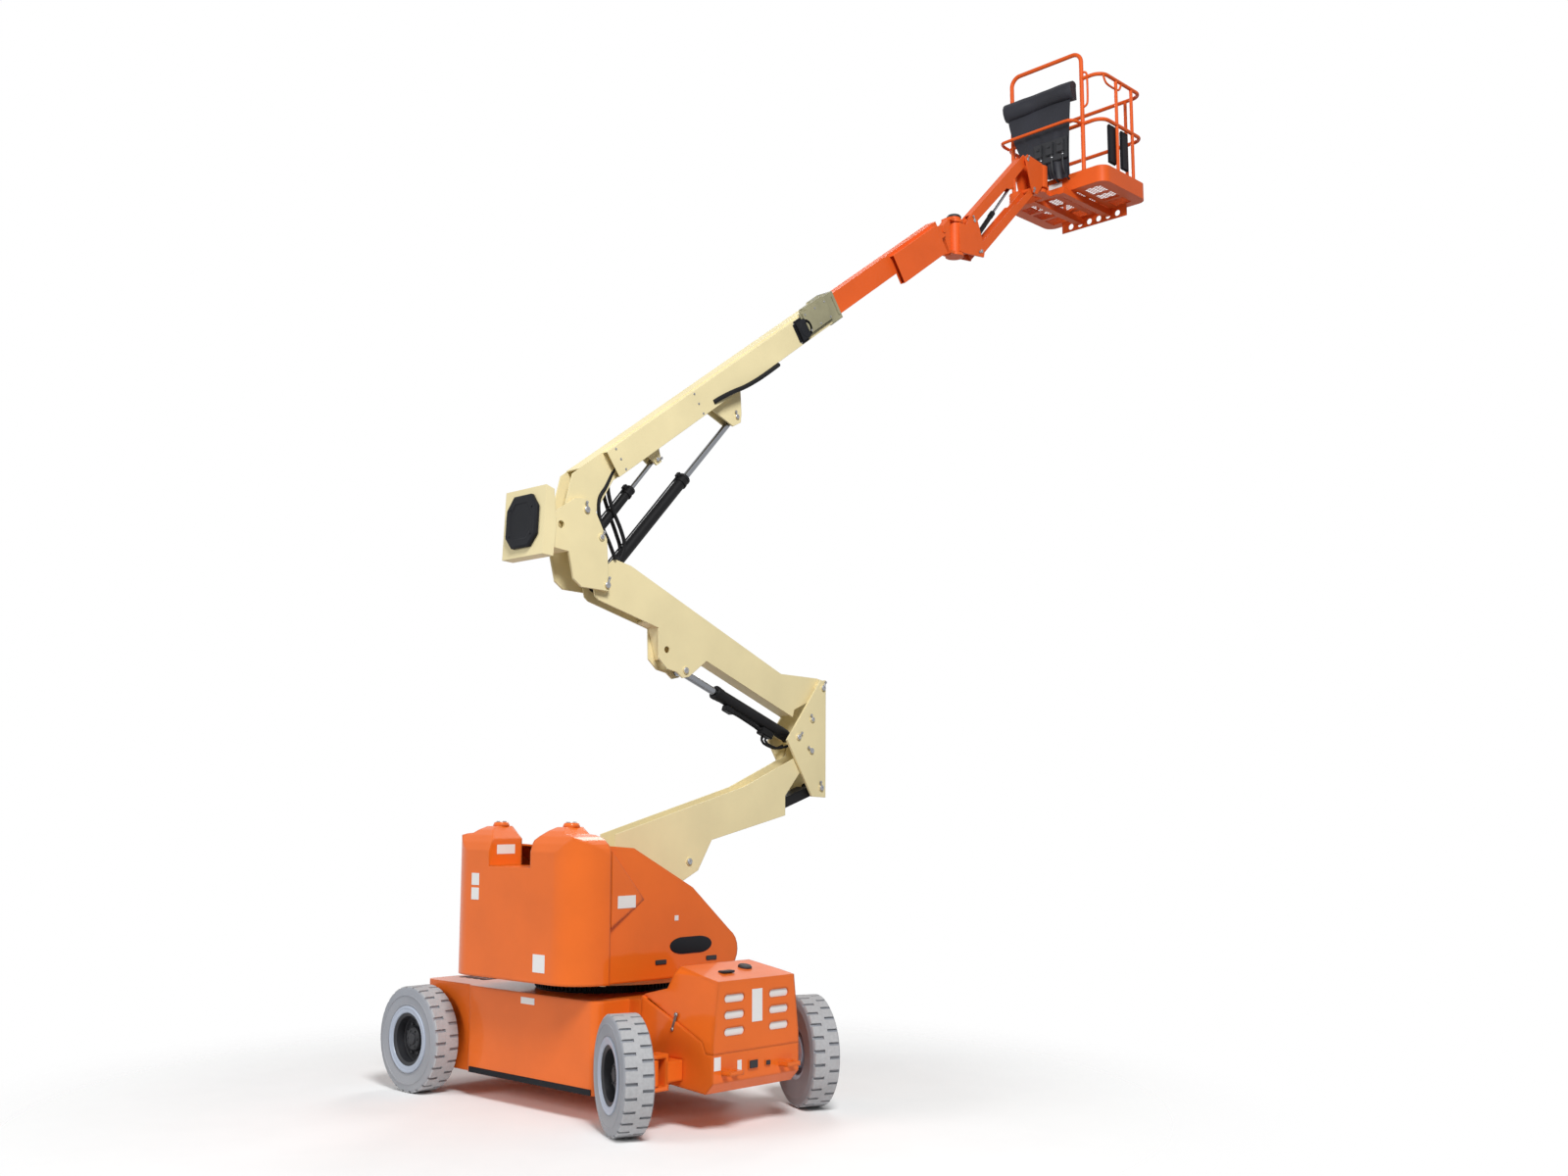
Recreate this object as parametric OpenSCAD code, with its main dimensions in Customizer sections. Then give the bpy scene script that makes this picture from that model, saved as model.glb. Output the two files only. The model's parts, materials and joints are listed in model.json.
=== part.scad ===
// Articulating boom lift on four wheels, millimetres.
// +X runs along the chassis to its steer end, +Y is the way the boom reaches, +Z is up.
// The origin is on the ground under the slewing axis.

/* [Running gear] */
// Distance between the axles
wheelbase = 2000; // [1900:10:2100]
// Distance between the tyre centres of an axle, steered straight
track = 1322; // [1290:2:1360]
// Outer diameter of a tyre, over its tread
tyre_d = 635; // [600:5:660]
// Width of a tyre
tyre_w = 178; // [150:2:190]
// Diameter of a rim
rim_d = 320; // [290:5:350]
// Angle that the steered wheels are turned by
steer_rest = -24; // [-30:1:30]
// Distance from the kingpin to the middle of its wheel
king_offset = 150; // [140:2:160]
// Radius of a kingpin
king_r = 28; // [22:1:32]

/* [Chassis] */
// Width of the chassis over its side panels
chassis_w = 1140; // [1080:10:1140]
// Height of the chassis deck
deck_z = 660; // [640:5:680]
// Ground clearance
belly_z = 150; // [110:5:180]
// Width of the narrow end between the steered wheels
nose_w = 660; // [600:10:680]
// Reach of the end box past the steer axle
nose_reach = 300; // [270:5:330]
// Wall of the end cover
cover_t = 6; // [4:1:8]
// Bore radius of a tie-down eye
eye_r = 25; // [20:1:30]

/* [Turntable] */
// Radius of the slewing ring
ring_r = 420; // [380:10:450]
// Height of the slewing ring
ring_h = 58; // [50:1:70]
// Half width of the hoods
hood_x = 640; // [600:5:660]
// Reach of the tail from the slewing axis
tail_y = 740; // [700:5:760]
// Wall of a hood
hood_t = 10; // [6:1:14]
// Half width of the slot that the booms fold into
slot_x = 200; // [196:2:240]
// Height of the humps beside the slot
hump_z = 1620; // [1580:5:1660]
// Height of the tail's lip
lip_z = 1390; // [1360:2:1400]

/* [Booms] */
// Outer half width of the lower boom
low_out = 75; // [73:1:77]
// Outer half width of the tower boom
tower_out = 56; // [50:1:58]
// Thickness of the boom side plates
plate_t = 10; // [8:1:12]
// Inner half width of the uprights
upright_in = 82; // [81:1:86]
// Thickness of an upright's plate
upright_t = 16; // [12:1:17]
// Width of the main boom tube
main_w = 126; // [116:2:136]
// Depth of the main boom tube
main_d = 190; // [180:2:200]
// Wall of the main boom tube
main_wall = 8; // [6:1:9]
// Clearance between the fly boom and the main boom
fly_gap = 6; // [5:1:8]
// Angle of the main boom
main_angle = 36; // [36:1:36]
// Length of the main boom past its pivot
main_len = 2850; // [2800:10:2900]
// Radius of the boom pins
pin_r = 22; // [18:1:26]
// Running clearance of a pin
run = 0.05; // [0.02:0.01:0.1]
// Gap between a piece and the seat that carries it
seat = 0.3; // [0.2:0.05:0.5]

/* [Platform] */
// Length of the platform across the boom
plat_x = 1060; // [1000:10:1220]
// Depth of the platform
plat_y = 700; // [660:10:760]
// Height of the top rail over the floor
rail_h = 1000; // [950:10:1100]
// Height of the raised rail over the console
bow_h = 1250; // [1150:10:1280]
// Diameter of the rail tubes
rail_d = 34; // [28:1:40]
// Depth of the toe board
toe_h = 150; // [120:5:170]

/* [Hidden] */
$fn = 48;

cream = "#efe3b8";
orange = "#ea6a1e";
dark = "#23252a";
steel = "#b9bcc2";
grey = "#a7abb3";

// Pins of the boom linkage, as [y, z]
A_low = [-420, 1420];
M_low = [1725, 2120];
M_top = M_low + [123, 442];
M_link = M_low + [11, 218];
M_cyl = M_low + [-128, 90];
M_bot = M_low + [99, -256];
A_link = A_low + (M_bot - M_low);
U_bot = [-120, 3095];
U_small = U_bot + [-52, 295];
U_top = U_bot + [-172, 452];
U_hole = U_bot + [-366, 335];
// Place of the upper upright's pin in the lower boom when both booms are folded
function turned(p, c, a) = c
    + [(p[0] - c[0]) * cos(a) - (p[1] - c[1]) * sin(a), (p[0] - c[0]) * sin(a) + (p[1] - c[1]) * cos(a)];
low_fold = 23;
tower_fold = 25;
fold_pin = turned(turned(U_bot, M_top, tower_fold) - M_low + turned(M_low, A_low, -low_fold), A_low,
    low_fold);
low_pin = [605, 1389];
low_hole = [421, 1297];
low_base = [-300, 850];
tower_pin = [580, 2611];
tower_hole = [417, 2734];
main_pin = [1049, 4386];
level_pin = [329, 3971];

// Main boom frame: local Y along the boom from its pivot, local Z square to it
main_axis = 137;
tube_bottom = main_axis - main_d / 2;
fly_w = main_w - 2 * main_wall - 2 * fly_gap;
fly_d = main_d - 2 * main_wall - 2 * fly_gap;
fly_wall = 6;
fly_rear = 1350;
fly_tip = 4540;

// Jib pins, as [y, z]
swing_y = 3560;
J_up = [3745, 6530];
J_off = [90, -240];
J_run = [780, 770];
J_low = J_up + J_off;
P_up = J_up + J_run;
P_low = J_low + J_run;
jib_base = J_low + [-40, 70];
jib_pin = J_up + 0.72 * J_run + [34, -79];
plat_c = [0, 5366];
floor_z = 7135;
px0 = plat_c[0] - plat_x / 2;
px1 = plat_c[0] + plat_x / 2;
py0 = plat_c[1] - plat_y / 2;
py1 = plat_c[1] + plat_y / 2;
spin_y = py0 - 220;

axle_z = tyre_d / 2;
king_y = track / 2 - king_offset;
nose_back = wheelbase / 2 - 390;
nose_x = wheelbase / 2 + nose_reach;
upright_out = upright_in + upright_t;
ring_top = deck_z + ring_h;
bed_t = 25;
bed_top = ring_top + bed_t;
hood_bottom = bed_top + 5;
hood_corner = 230;
frame_in = upright_out + 8;
frame_t = 18;

// A plate of outline pts in the boom plane, from x0 to x1
module slab(pts, x0, x1) {
    translate([x0, 0, 0]) rotate([90, 0, 90]) linear_extrude(x1 - x0) polygon(pts);
}

// A pair of such plates, mirrored about the boom plane
module slabs(pts, inner, outer) {
    slab(pts, inner, outer);
    slab(pts, -outer, -inner);
}

// A round bar across the boom plane
module bar(p, r, x0, x1) {
    translate([x0, p[0], p[1]]) rotate([0, 90, 0]) cylinder(r = r, h = x1 - x0);
}

module bars(p, r, inner, outer) {
    bar(p, r, inner, outer);
    bar(p, r, -outer, -inner);
}

// Turns local Y to run from p to q in the boom plane
module along(p, q) {
    translate([0, p[0], p[1]]) rotate([atan2(q[1] - p[1], q[0] - p[0]), 0, 0]) children();
}

module main_frame() {
    translate([0, U_top[0], U_top[1]]) rotate([main_angle, 0, 0]) children();
}

// A box centred across X, from y0 to y1 and z0 to z1
module block(w, y0, y1, z0, z1) {
    translate([-w / 2, y0, z0]) cube([w, y1 - y0, z1 - z0]);
}

module rounded(x0, x1, y0, y1, r) {
    translate([x0 + r, y0]) square([x1 - x0 - 2 * r, y1 - y0]);
    translate([x0, y0 + r]) square([x1 - x0, y1 - y0 - 2 * r]);
    for (x = [x0 + r, x1 - r], y = [y0 + r, y1 - r]) translate([x, y]) circle(r);
}

// Chassis
panel_x0 = -wheelbase / 2 + tyre_d / 2 + 40;
panel_x1 = nose_back;
tail_x = wheelbase / 2 + 120;
rear_w = track - tyre_w - 60;
corner_r = 60;
tray_top = 420;
tray_floor = tray_top - 90;
eye_w = 2 * eye_r + 50;
tail_eye_t = 30;
nose_eye_t = 24;

module chassis_plan() {
    translate([panel_x0, -chassis_w / 2]) rounded(0, panel_x1 - panel_x0, 0, chassis_w, corner_r);
    translate([-tail_x, -rear_w / 2]) rounded(0, tail_x + panel_x0 + 2 * corner_r, 0, rear_w, corner_r);
}

module chassis_body() {
    color(orange) difference() {
        union() {
            translate([0, 0, belly_z]) linear_extrude(deck_z - belly_z) chassis_plan();
            // Neck that carries the steer axle and the end tray
            translate([panel_x1 - 1, -nose_w / 2, belly_z + 60]) cube([101, nose_w, deck_z - belly_z - 60]);
            cylinder(r = ring_r + 30, h = deck_z);
            // Tie-down eyes at the tail
            for (s = [-1, 1]) translate([-tail_x - 72, s * rear_w / 3 - eye_w / 2,
                belly_z + 100 - tail_eye_t / 2])
                cube([82, eye_w, tail_eye_t]);
        }
        translate([0, 0, -1]) cylinder(r = 2 * tail_x, h = belly_z + 1);
        for (s = [-1, 1]) translate([-tail_x - 32, s * rear_w / 3, belly_z + 100])
            cylinder(r = eye_r, h = 60, center = true);
        translate([-wheelbase / 2, 0, axle_z]) rotate([90, 0, 0])
            cylinder(r = drive_r + run, h = rear_w + 2, center = true);
    }
}

drive_r = 55;
hub_in = tyre_w / 2 - 20;

module drive_axle() {
    color(dark) translate([-wheelbase / 2, 0, axle_z]) rotate([90, 0, 0])
        cylinder(r = drive_r, h = track - 2 * hub_in - 0.6, center = true);
}

tray_z = belly_z + 60;
tray_back = nose_back + 100;
seam = [[tray_back, deck_z + 25], [nose_x - 90, tray_top + 60], [nose_x - 60, tray_top], [nose_x,
    tray_top]];

module end_tray() {
    color(orange) difference() {
        union() {
            translate([0, nose_w / 2, 0]) rotate([90, 0, 0]) linear_extrude(nose_w) polygon(concat(
                [[tray_back, tray_z + 40], [nose_x - 60, tray_z], [nose_x, tray_z + 60]],
                [for (i = [3 : -1 : 0]) seam[i] - [0, seat]]));
            for (s = [-1, 1]) translate([nose_x - 10, s * nose_w / 3 - eye_w / 2,
                tray_z + 112 - nose_eye_t / 2])
                cube([82, eye_w, nose_eye_t]);
            // Lids of the charger socket and of the service point
            translate([nose_x - 1, -70, tray_z + 110]) cube([9, 70, 50]);
            translate([nose_x - 1, 60, tray_z + 115]) cube([7, 40, 30]);
        }
        // Hollow under the cover
        translate([tray_back + 30, -nose_w / 2 + 12, tray_floor]) cube([nose_x - tray_back - 60,
            nose_w - 24, 400]);
        translate([wheelbase / 2 - axle_half - seat, -nose_w, axle_z - axle_half - seat])
            cube([2 * axle_half + 2 * seat, 2 * nose_w, 2 * axle_half + 2 * seat]);
        for (s = [-1, 1]) translate([nose_x + 32, s * nose_w / 3, tray_z + 112])
            cylinder(r = eye_r, h = 60, center = true);
    }
}

cover_w = nose_w;
// Radius that the tail sweeps
tail_r = norm([hood_x - hood_corner, tail_y - hood_corner]) + hood_corner;
cover_top = [[tray_back, deck_z + 32], [tail_r + 12, hood_bottom - 12], [tail_r + 80, deck_z + 200],
    [nose_x, deck_z + 140]];
louvre_w = 150;
louvre_h = 42;
louvre_y = 172;
louvre_step = 88;

cover_taper = 38;
cover_shoulder = tray_top + 60;

// Cross section of the cover, drawn in by t
module cover_section(t) {
    rotate([90, 0, 90]) linear_extrude(2 * nose_x) polygon([[-cover_w / 2 + t, 0], [cover_w / 2 - t, 0],
        [cover_w / 2 - t, cover_shoulder], [cover_w / 2 - cover_taper - t, deck_z + 160],
        [cover_w / 2 - 2 * cover_taper - t, deck_z + 220], [-cover_w / 2 + 2 * cover_taper + t,
            deck_z + 220],
        [-cover_w / 2 + cover_taper + t, deck_z + 160], [-cover_w / 2 + t, cover_shoulder]]);
}

module cover_solid(t) {
    intersection() {
        translate([0, cover_w, 0]) rotate([90, 0, 0]) linear_extrude(2 * cover_w) children();
        cover_section(t);
    }
}

module end_cover() {
    color(orange) difference() {
        cover_solid(0) polygon(concat(cover_top, [for (i = [3 : -1 : 0]) seam[i]]));
        cover_solid(cover_t) translate([-cover_t, -cover_t]) difference() {
            polygon(concat(cover_top, [[nose_x, 0], [tray_back - 100, 0], [tray_back - 100, deck_z + 32]]));
            translate([nose_x - cover_t / 4, 0]) square(2000);
        }
        for (s = [-1, 1], k = [0 : 2])
            translate([nose_x, s * louvre_y, tray_top + 110 + k * louvre_step]) louvre();
        translate([-100, -cover_w, 0]) cube([tray_back + 100, 2 * cover_w, 2000]);
    }
}

module louvre() {
    rotate([0, 90, 0]) linear_extrude(60, center = true) {
        square([louvre_h, louvre_w - louvre_h], center = true);
        for (s = [-1, 1]) translate([0, s * (louvre_w - louvre_h) / 2]) circle(d = louvre_h);
    }
}

power_h = 280;

module power_block() {
    color(dark) translate([tray_back + 60, -nose_w / 2 + 40, axle_z + axle_half + 8])
        cube([nose_x - tray_back - 160, nose_w - 80, power_h]);
    // Feet on the tray's floor
    color(dark) for (x = [tray_back + 62, nose_x - 127]) translate([x, -nose_w / 2 + 45, tray_floor + seat])
        cube([25, nose_w - 90, axle_z + axle_half + 9 - tray_floor - seat]);
}

// Steer axle with forked ends, knuckles and wheels
axle_half = 55;
fork_gap = 75;
fork_r = king_r + 20;

module steer_axle() {
    x = wheelbase / 2;
    color(dark) difference() {
        union() {
            translate([x - axle_half, -king_y + 75, axle_z - axle_half])
                cube([2 * axle_half, 2 * king_y - 150, 2 * axle_half]);
            for (s = [-1, 1]) {
                for (z = [-fork_gap - 22, fork_gap]) {
                    translate([x, s * king_y, axle_z + z]) cylinder(r = fork_r, h = 22);
                    translate([x - fork_r, s * (king_y - 45) - 45, axle_z + z]) cube([2 * fork_r, 90, 22]);
                }
                translate([x - fork_r, s * (king_y - 80) - 12, axle_z - fork_gap - 1])
                    cube([2 * fork_r, 24, 2 * fork_gap + 2]);
            }
        }
        for (s = [-1, 1]) translate([x, s * king_y, 0]) cylinder(r = king_r + run, h = 2 * axle_z);
    }
}

// Places its children at a kingpin, turned with the steering, local +Y pointing out
module at_king(side) {
    translate([wheelbase / 2, side * king_y, axle_z]) rotate([0, 0, steer_rest + (side > 0 ? 0 : 180)])
        children();
}

module at_rear(side) {
    translate([-wheelbase / 2, side * track / 2, axle_z]) rotate([0, 0, side > 0 ? 0 : 180]) children();
}

stub_r = 38;

module knuckle(side) {
    color(dark) at_king(side) {
        translate([0, 0, -fork_gap - 24]) cylinder(r = king_r, h = 2 * fork_gap + 48);
        cylinder(r = king_r + 16, h = 2 * fork_gap - 10, center = true);
        rotate([-90, 0, 0]) cylinder(r = stub_r, h = king_offset - hub_in - 0.3);
    }
}
module knuckle_left() { knuckle(-1); }
module knuckle_right() { knuckle(1); }

lug_n = 26;
lug_h = 12;
shoulder = 16;

module tyre() {
    color(grey) difference() {
        rotate([90, 0, 0]) rotate_extrude($fn = 96) polygon([
            [rim_d / 2, -tyre_w / 2 + 12], [tyre_d / 2 - 50, -tyre_w / 2], [tyre_d / 2 - shoulder,
                -tyre_w / 2 + 6],
            [tyre_d / 2, -tyre_w / 2 + shoulder], [tyre_d / 2, tyre_w / 2 - shoulder],
            [tyre_d / 2 - shoulder, tyre_w / 2 - 6], [tyre_d / 2 - 50, tyre_w / 2], [rim_d / 2,
                tyre_w / 2 - 12]]);
        // Two staggered rows of tread gaps, open at the shoulders
        for (s = [-1, 1], k = [0 : lug_n - 1]) rotate([0, (k + (s > 0 ? 0.5 : 0)) * 360 / lug_n, 0])
            translate([-9, s > 0 ? 14 : -tyre_w / 2 - 1, tyre_d / 2 - lug_h]) cube([18, tyre_w / 2 - 13,
                lug_h + 5]);
    }
}

module rim() {
    color(steel) rotate([90, 0, 0]) difference() {
        rotate_extrude($fn = 96) polygon([[0, -hub_in], [95, -hub_in], [95, -10], [rim_d / 2 - 22, -10],
            [rim_d / 2 - 22, -tyre_w / 2 + 20], [rim_d / 2 - 0.2, -tyre_w / 2 + 12], [rim_d / 2 - 0.2,
                tyre_w / 2 - 12],
            [rim_d / 2 - 22, tyre_w / 2 - 20], [rim_d / 2 - 22, 10], [95, 10], [85, 0], [60, 0], [55,
                -30], [0, -30]]);
        for (k = [0 : 7]) rotate(k * 45) translate([118, 0, 0]) cylinder(r = 9, h = 60, center = true);
    }
}

module tyre_front_left() { at_king(-1) translate([0, king_offset, 0]) tyre(); }
module tyre_front_right() { at_king(1) translate([0, king_offset, 0]) tyre(); }
module tyre_rear_left() { at_rear(-1) tyre(); }
module tyre_rear_right() { at_rear(1) tyre(); }
module rim_front_left() { at_king(-1) translate([0, king_offset, 0]) mirror([0, 1, 0]) rim(); }
module rim_front_right() { at_king(1) translate([0, king_offset, 0]) mirror([0, 1, 0]) rim(); }
module rim_rear_left() { at_rear(-1) mirror([0, 1, 0]) rim(); }
module rim_rear_right() { at_rear(1) mirror([0, 1, 0]) rim(); }

// Turntable
seam_y = -500;
rib_t = 20;
rib_y = seam_y - 2 * rib_t;
hood_bend = hood_corner - hood_t;
rib_x = hood_x - hood_corner + sqrt(pow(hood_bend, 2) - pow(tail_y + rib_y - hood_corner, 2)) - seat;

module slew_ring() {
    color(dark) difference() {
        translate([0, 0, deck_z]) cylinder(r = ring_r, h = ring_h - 0.3, $fn = 96);
        translate([0, 0, deck_z - 1]) cylinder(r = ring_r - 90, h = ring_h + 2, $fn = 96);
    }
}

module turntable_frame() {
    color(cream) difference() {
        union() {
            translate([0, 0, ring_top]) cylinder(r = ring_r + 140, h = bed_t, $fn = 96);
            slabs([[-540, bed_top - 1], [-540, 1180], A_low + [-70, -10], A_low + [-40, 75], A_low + [40,
                75],
                A_low + [85, 0], [-230, 1180], [-190, bed_top - 1]], frame_in, frame_in + frame_t);
            bar(A_low, pin_r, -frame_in - 1, frame_in + 1);
            bar(A_link, pin_r, -frame_in - 1, frame_in + 1);
            bar(low_base, pin_r, -frame_in - 1, frame_in + 1);
            // Ribs that carry the hoods
            for (s = [-1, 1]) translate([s > 0 ? frame_in : -rib_x, rib_y, bed_top - 1])
                cube([rib_x - frame_in, rib_t, 420]);
        }
        translate([0, 0, ring_top - 1]) cylinder(r = 150, h = bed_t + 2);
    }
}

module counterweight() {
    color(dark) block(2 * (hood_x - hood_corner), -tail_y + hood_t + 15, rib_y - seat, bed_top + 30, 1280);
}

// Right half of the tail's cross section, drawn in by t
crown_x = [300, 380];
shoulder_x = 200;
shoulder_drop = 150;
shoulder_rise = 110;
slot_drop = 75;
edge_y = 155;
edge_drop = 190;
edge_out = 5;
side_drop = 105;
side_in = 30;
function half_profile(t) = concat([[hood_x - t, hood_bottom - 2 * t]],
    [for (a = [0 : 15 : 90]) [hood_x - t - shoulder_x * (1 - cos(a)), hump_z - t - shoulder_drop
        + shoulder_rise * sin(a)]],
    [[crown_x[1], hump_z - t], [crown_x[0], hump_z - t], [slot_x + t, hump_z - slot_drop - t],
    [slot_x + t, lip_z - t]]);
function mirrored(pts) = [for (i = [len(pts) - 1 : -1 : 0]) [-pts[i][0], pts[i][1]]];

// Outline along the boom plane, with the tail's top edge rounded off
function tail_profile(t) = concat([[0, 0], [-tail_y + t - edge_out, 0]],
    [for (a = [0 : 15 : 90]) [-tail_y + t - edge_out + edge_y * (1 - cos(a)),
        hump_z - t - edge_drop + (edge_drop + edge_out) * sin(a)]],
    [[0, hump_z - t + edge_out]]);

module tail_form(t, front) {
    intersection() {
        linear_extrude(2 * hump_z) rounded(-hood_x + t, hood_x - t, -tail_y + t, tail_y, hood_corner - t);
        translate([0, front, 0]) rotate([90, 0, 0]) linear_extrude(tail_y)
            polygon(concat(half_profile(t), mirrored(half_profile(t))));
        slab(tail_profile(t), -2 * hood_x, 2 * hood_x);
    }
}

module tail_hood() {
    color(orange) {
        difference() {
            tail_form(0, seam_y - 3);
            tail_form(hood_t, seam_y + 10);
        }
        // Hinge bosses of the side hoods
        for (s = [-1, 1]) translate([s * (slot_x + 12), seam_y - seat, hump_z - side_drop - 7])
            rotate([90, 0, 0])
            cylinder(r = 5, h = 12);
    }
}

nose_arc = [for (a = [-60 : 15 : 60]) [390 + 130 * cos(a), 885 + 130 * sin(a)]];
side_x = hood_x - side_in;
function side_outline() = concat([[seam_y, hood_bottom]], [[440, hood_bottom]], nose_arc,
    [[148, 1262], [-313, hump_z - side_drop - 15], [seam_y, hump_z - side_drop]]);

module side_hood(s) {
    color(orange) difference() {
        slab(side_outline(), s > 0 ? slot_x : -side_x, s > 0 ? side_x : -slot_x);
        // Inside, open to the frame, below and at the tail
        slab(concat([[seam_y - 20, 0]], [[440 - hood_t, 0]], [for (p = nose_arc) p - [hood_t, hood_t / 2]],
            [[148 - hood_t / 2, 1262 - hood_t], [-313, hump_z - side_drop - 15 - 1.2 * hood_t],
            [seam_y - 20, hump_z - side_drop - hood_t]]),
            s > 0 ? slot_x - 1 : -side_x + hood_t, s > 0 ? side_x - hood_t : -slot_x + 1);
    }
}
module hood_right() { side_hood(1); }
module hood_left() { side_hood(-1); }

// Lower boom: open-topped channel on two side plates
low_in = low_out - plate_t;
fold_r = pin_r + 22;
low_outline = [A_low + [-75, 0], A_low + [-50, -100], [-380, 1253], [270, 1400], [300, 1300], [390,
    1235], [533, 1258],
    [685, 1330], [804, 1521], [1490, 1676], [1490, 1808], [1690, 2030], M_low + [70, 0], M_low + [30, 65],
    M_low + [-60, 55], [1640, 2089], [1097, 1865], [-19, 1563], A_low + [-20, 75], A_low + [-60, 45]];

module lower_boom() {
    color(cream) difference() {
        union() {
            slabs(low_outline, low_in, low_out);
            bar(A_low, pin_r + 14, -frame_in + 1, frame_in - 1);
            bar(M_low, pin_r + 14, -upright_in + 1, upright_in - 1);
            // Webs that join the plates below the folded tower boom
            slab([[-370, 1340], [-80, 1362], [-80, 1374], [-370, 1352]], -low_in - 1, low_in + 1);
            slab([[1130, 1765], [1330, 1845], [1330, 1857], [1130, 1777]], -low_in - 1, low_in + 1);
            bars(low_pin, 24, 34, low_out + 8);
        }
        bar(A_low, pin_r + run, -frame_in - 2, frame_in + 2);
        bar(M_low, pin_r + run, -upright_in - 2, upright_in + 2);
        bar(low_hole, 24, -low_out - 2, low_out + 2);
        bar(fold_pin, fold_r, -low_out - 2, low_out + 2);
        block(2 * low_out + 4, fold_pin[0] - fold_r, fold_pin[0] + fold_r, fold_pin[1], fold_pin[1] + 200);
    }
}

// Lower timing link: two bars joined at their ends
module lower_link() {
    color(dark) difference() {
        union() {
            along(A_link, M_bot) for (s = [-1, 1])
                translate([s > 0 ? 40 : -58, 0, -15]) cube([18, norm(M_bot - A_link), 30]);
            for (p = [A_link, M_bot]) bar(p, pin_r + 12, -60, 60);
        }
        for (p = [A_link, M_bot]) bar(p, pin_r + run, -70, 70);
    }
}

module mid_upright() {
    color(cream) {
        slabs([M_low + [-237, 67], M_top + [-22, 50], M_top + [30, 56], M_bot + [46, -66], M_bot + [-90,
            -60]],
            upright_in, upright_out);
        for (p = [M_top, M_low, M_bot, M_cyl]) bar(p, pin_r, -upright_in - 1, upright_in + 1);
        for (p = [M_top, M_low, M_bot, M_cyl, M_link]) bars(p, pin_r, upright_out - 1, upright_out + 8);
    }
}

// Tower boom: open-topped channel with a bracket for its cylinder
tower_in = tower_out - plate_t;
tower_outline = [U_bot + [-80, 10], U_bot + [-60, -70], U_bot + [-30, -92], [343, 2870], [349, 2675],
    [420, 2612], [505, 2595],
    tower_pin + [-25, -52], tower_pin + [30, -40], [765, 2684], [1585, 2348], [1600, 2400], [1720, 2450],
    M_top + [40, -60], M_top + [68, 0], M_top + [50, 55], M_top + [-20, 68], [1468, 2641], [106, 3245],
    U_bot + [90, 178], U_bot + [-20, 90], U_bot + [-65, 55]];

module tower_boom() {
    color(cream) difference() {
        union() {
            slabs(tower_outline, tower_in, tower_out);
            for (p = [U_bot, M_top]) bars(p, pin_r + 14, tower_in, upright_in - 1);
            bar(M_top, pin_r + 14, -tower_in - 1, tower_in + 1);
            slab([[765, 2684], [1560, 2358], [1560, 2370], [765, 2696]], -tower_in - 1, tower_in + 1);
            slab([[250, 2897], [343, 2872], [400, 2672], [410, 2672], [353, 2882], [250, 2909]],
                -tower_in - 1, tower_in + 1);
            bars(tower_pin, 24, 34, tower_out + 8);
        }
        for (p = [U_bot, M_top]) bar(p, pin_r + run, -upright_in - 2, upright_in + 2);
        bar(tower_hole, 22, -tower_out - 2, tower_out + 2);
    }
}

// Upper upright with the box and pad behind it
box_x = 200;
module upper_upright() {
    color(cream) {
        difference() {
            slabs([U_bot + [15, -37], U_bot + [-7, 286], U_top + [60, 20], U_top + [10, 70],
                U_top + [-90, 60],
                U_bot + [-508, 344], U_bot + [-519, 223], U_bot + [-496, 197], U_bot + [-304, 177],
                    U_bot + [-262, 13],
                U_bot + [-200, -30]], upright_in, upright_out);
            bar(U_hole, 24, -upright_out - 2, upright_out + 2);
        }
        slab([U_bot + [-580, 120], U_bot + [-500, 115], U_bot + [-480, 300], U_bot + [-500, 520],
            U_bot + [-560, 540]],
            -box_x, box_x);
        // Web that joins the plates under the box
        slab([U_bot + [-496, 209], U_bot + [-496, 197], U_bot + [-304, 177], U_bot + [-296, 189]],
            -upright_in - 1, upright_in + 1);
        for (p = [U_top, U_bot, U_small]) bar(p, pin_r, -upright_in - 1, upright_in + 1);
        for (p = [U_top, U_bot, U_small]) bars(p, pin_r, upright_out - 1, upright_out + 8);
    }
}

// Main boom, drawn along local Y
function in_main(p) = let (v = p - U_top)
    [v[0] * cos(main_angle) + v[1] * sin(main_angle), v[1] * cos(main_angle) - v[0] * sin(main_angle)];
function from_main(q) = U_top
    + [q[0] * cos(main_angle) - q[1] * sin(main_angle), q[0] * sin(main_angle) + q[1] * cos(main_angle)];
rod_lug = in_main(main_pin);
level_lug = in_main(level_pin);
tube_top = tube_bottom + main_d;
cheek_out = main_w / 2;
lug_out = 40;
lug_t = 12;
collar_len = 140;

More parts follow.
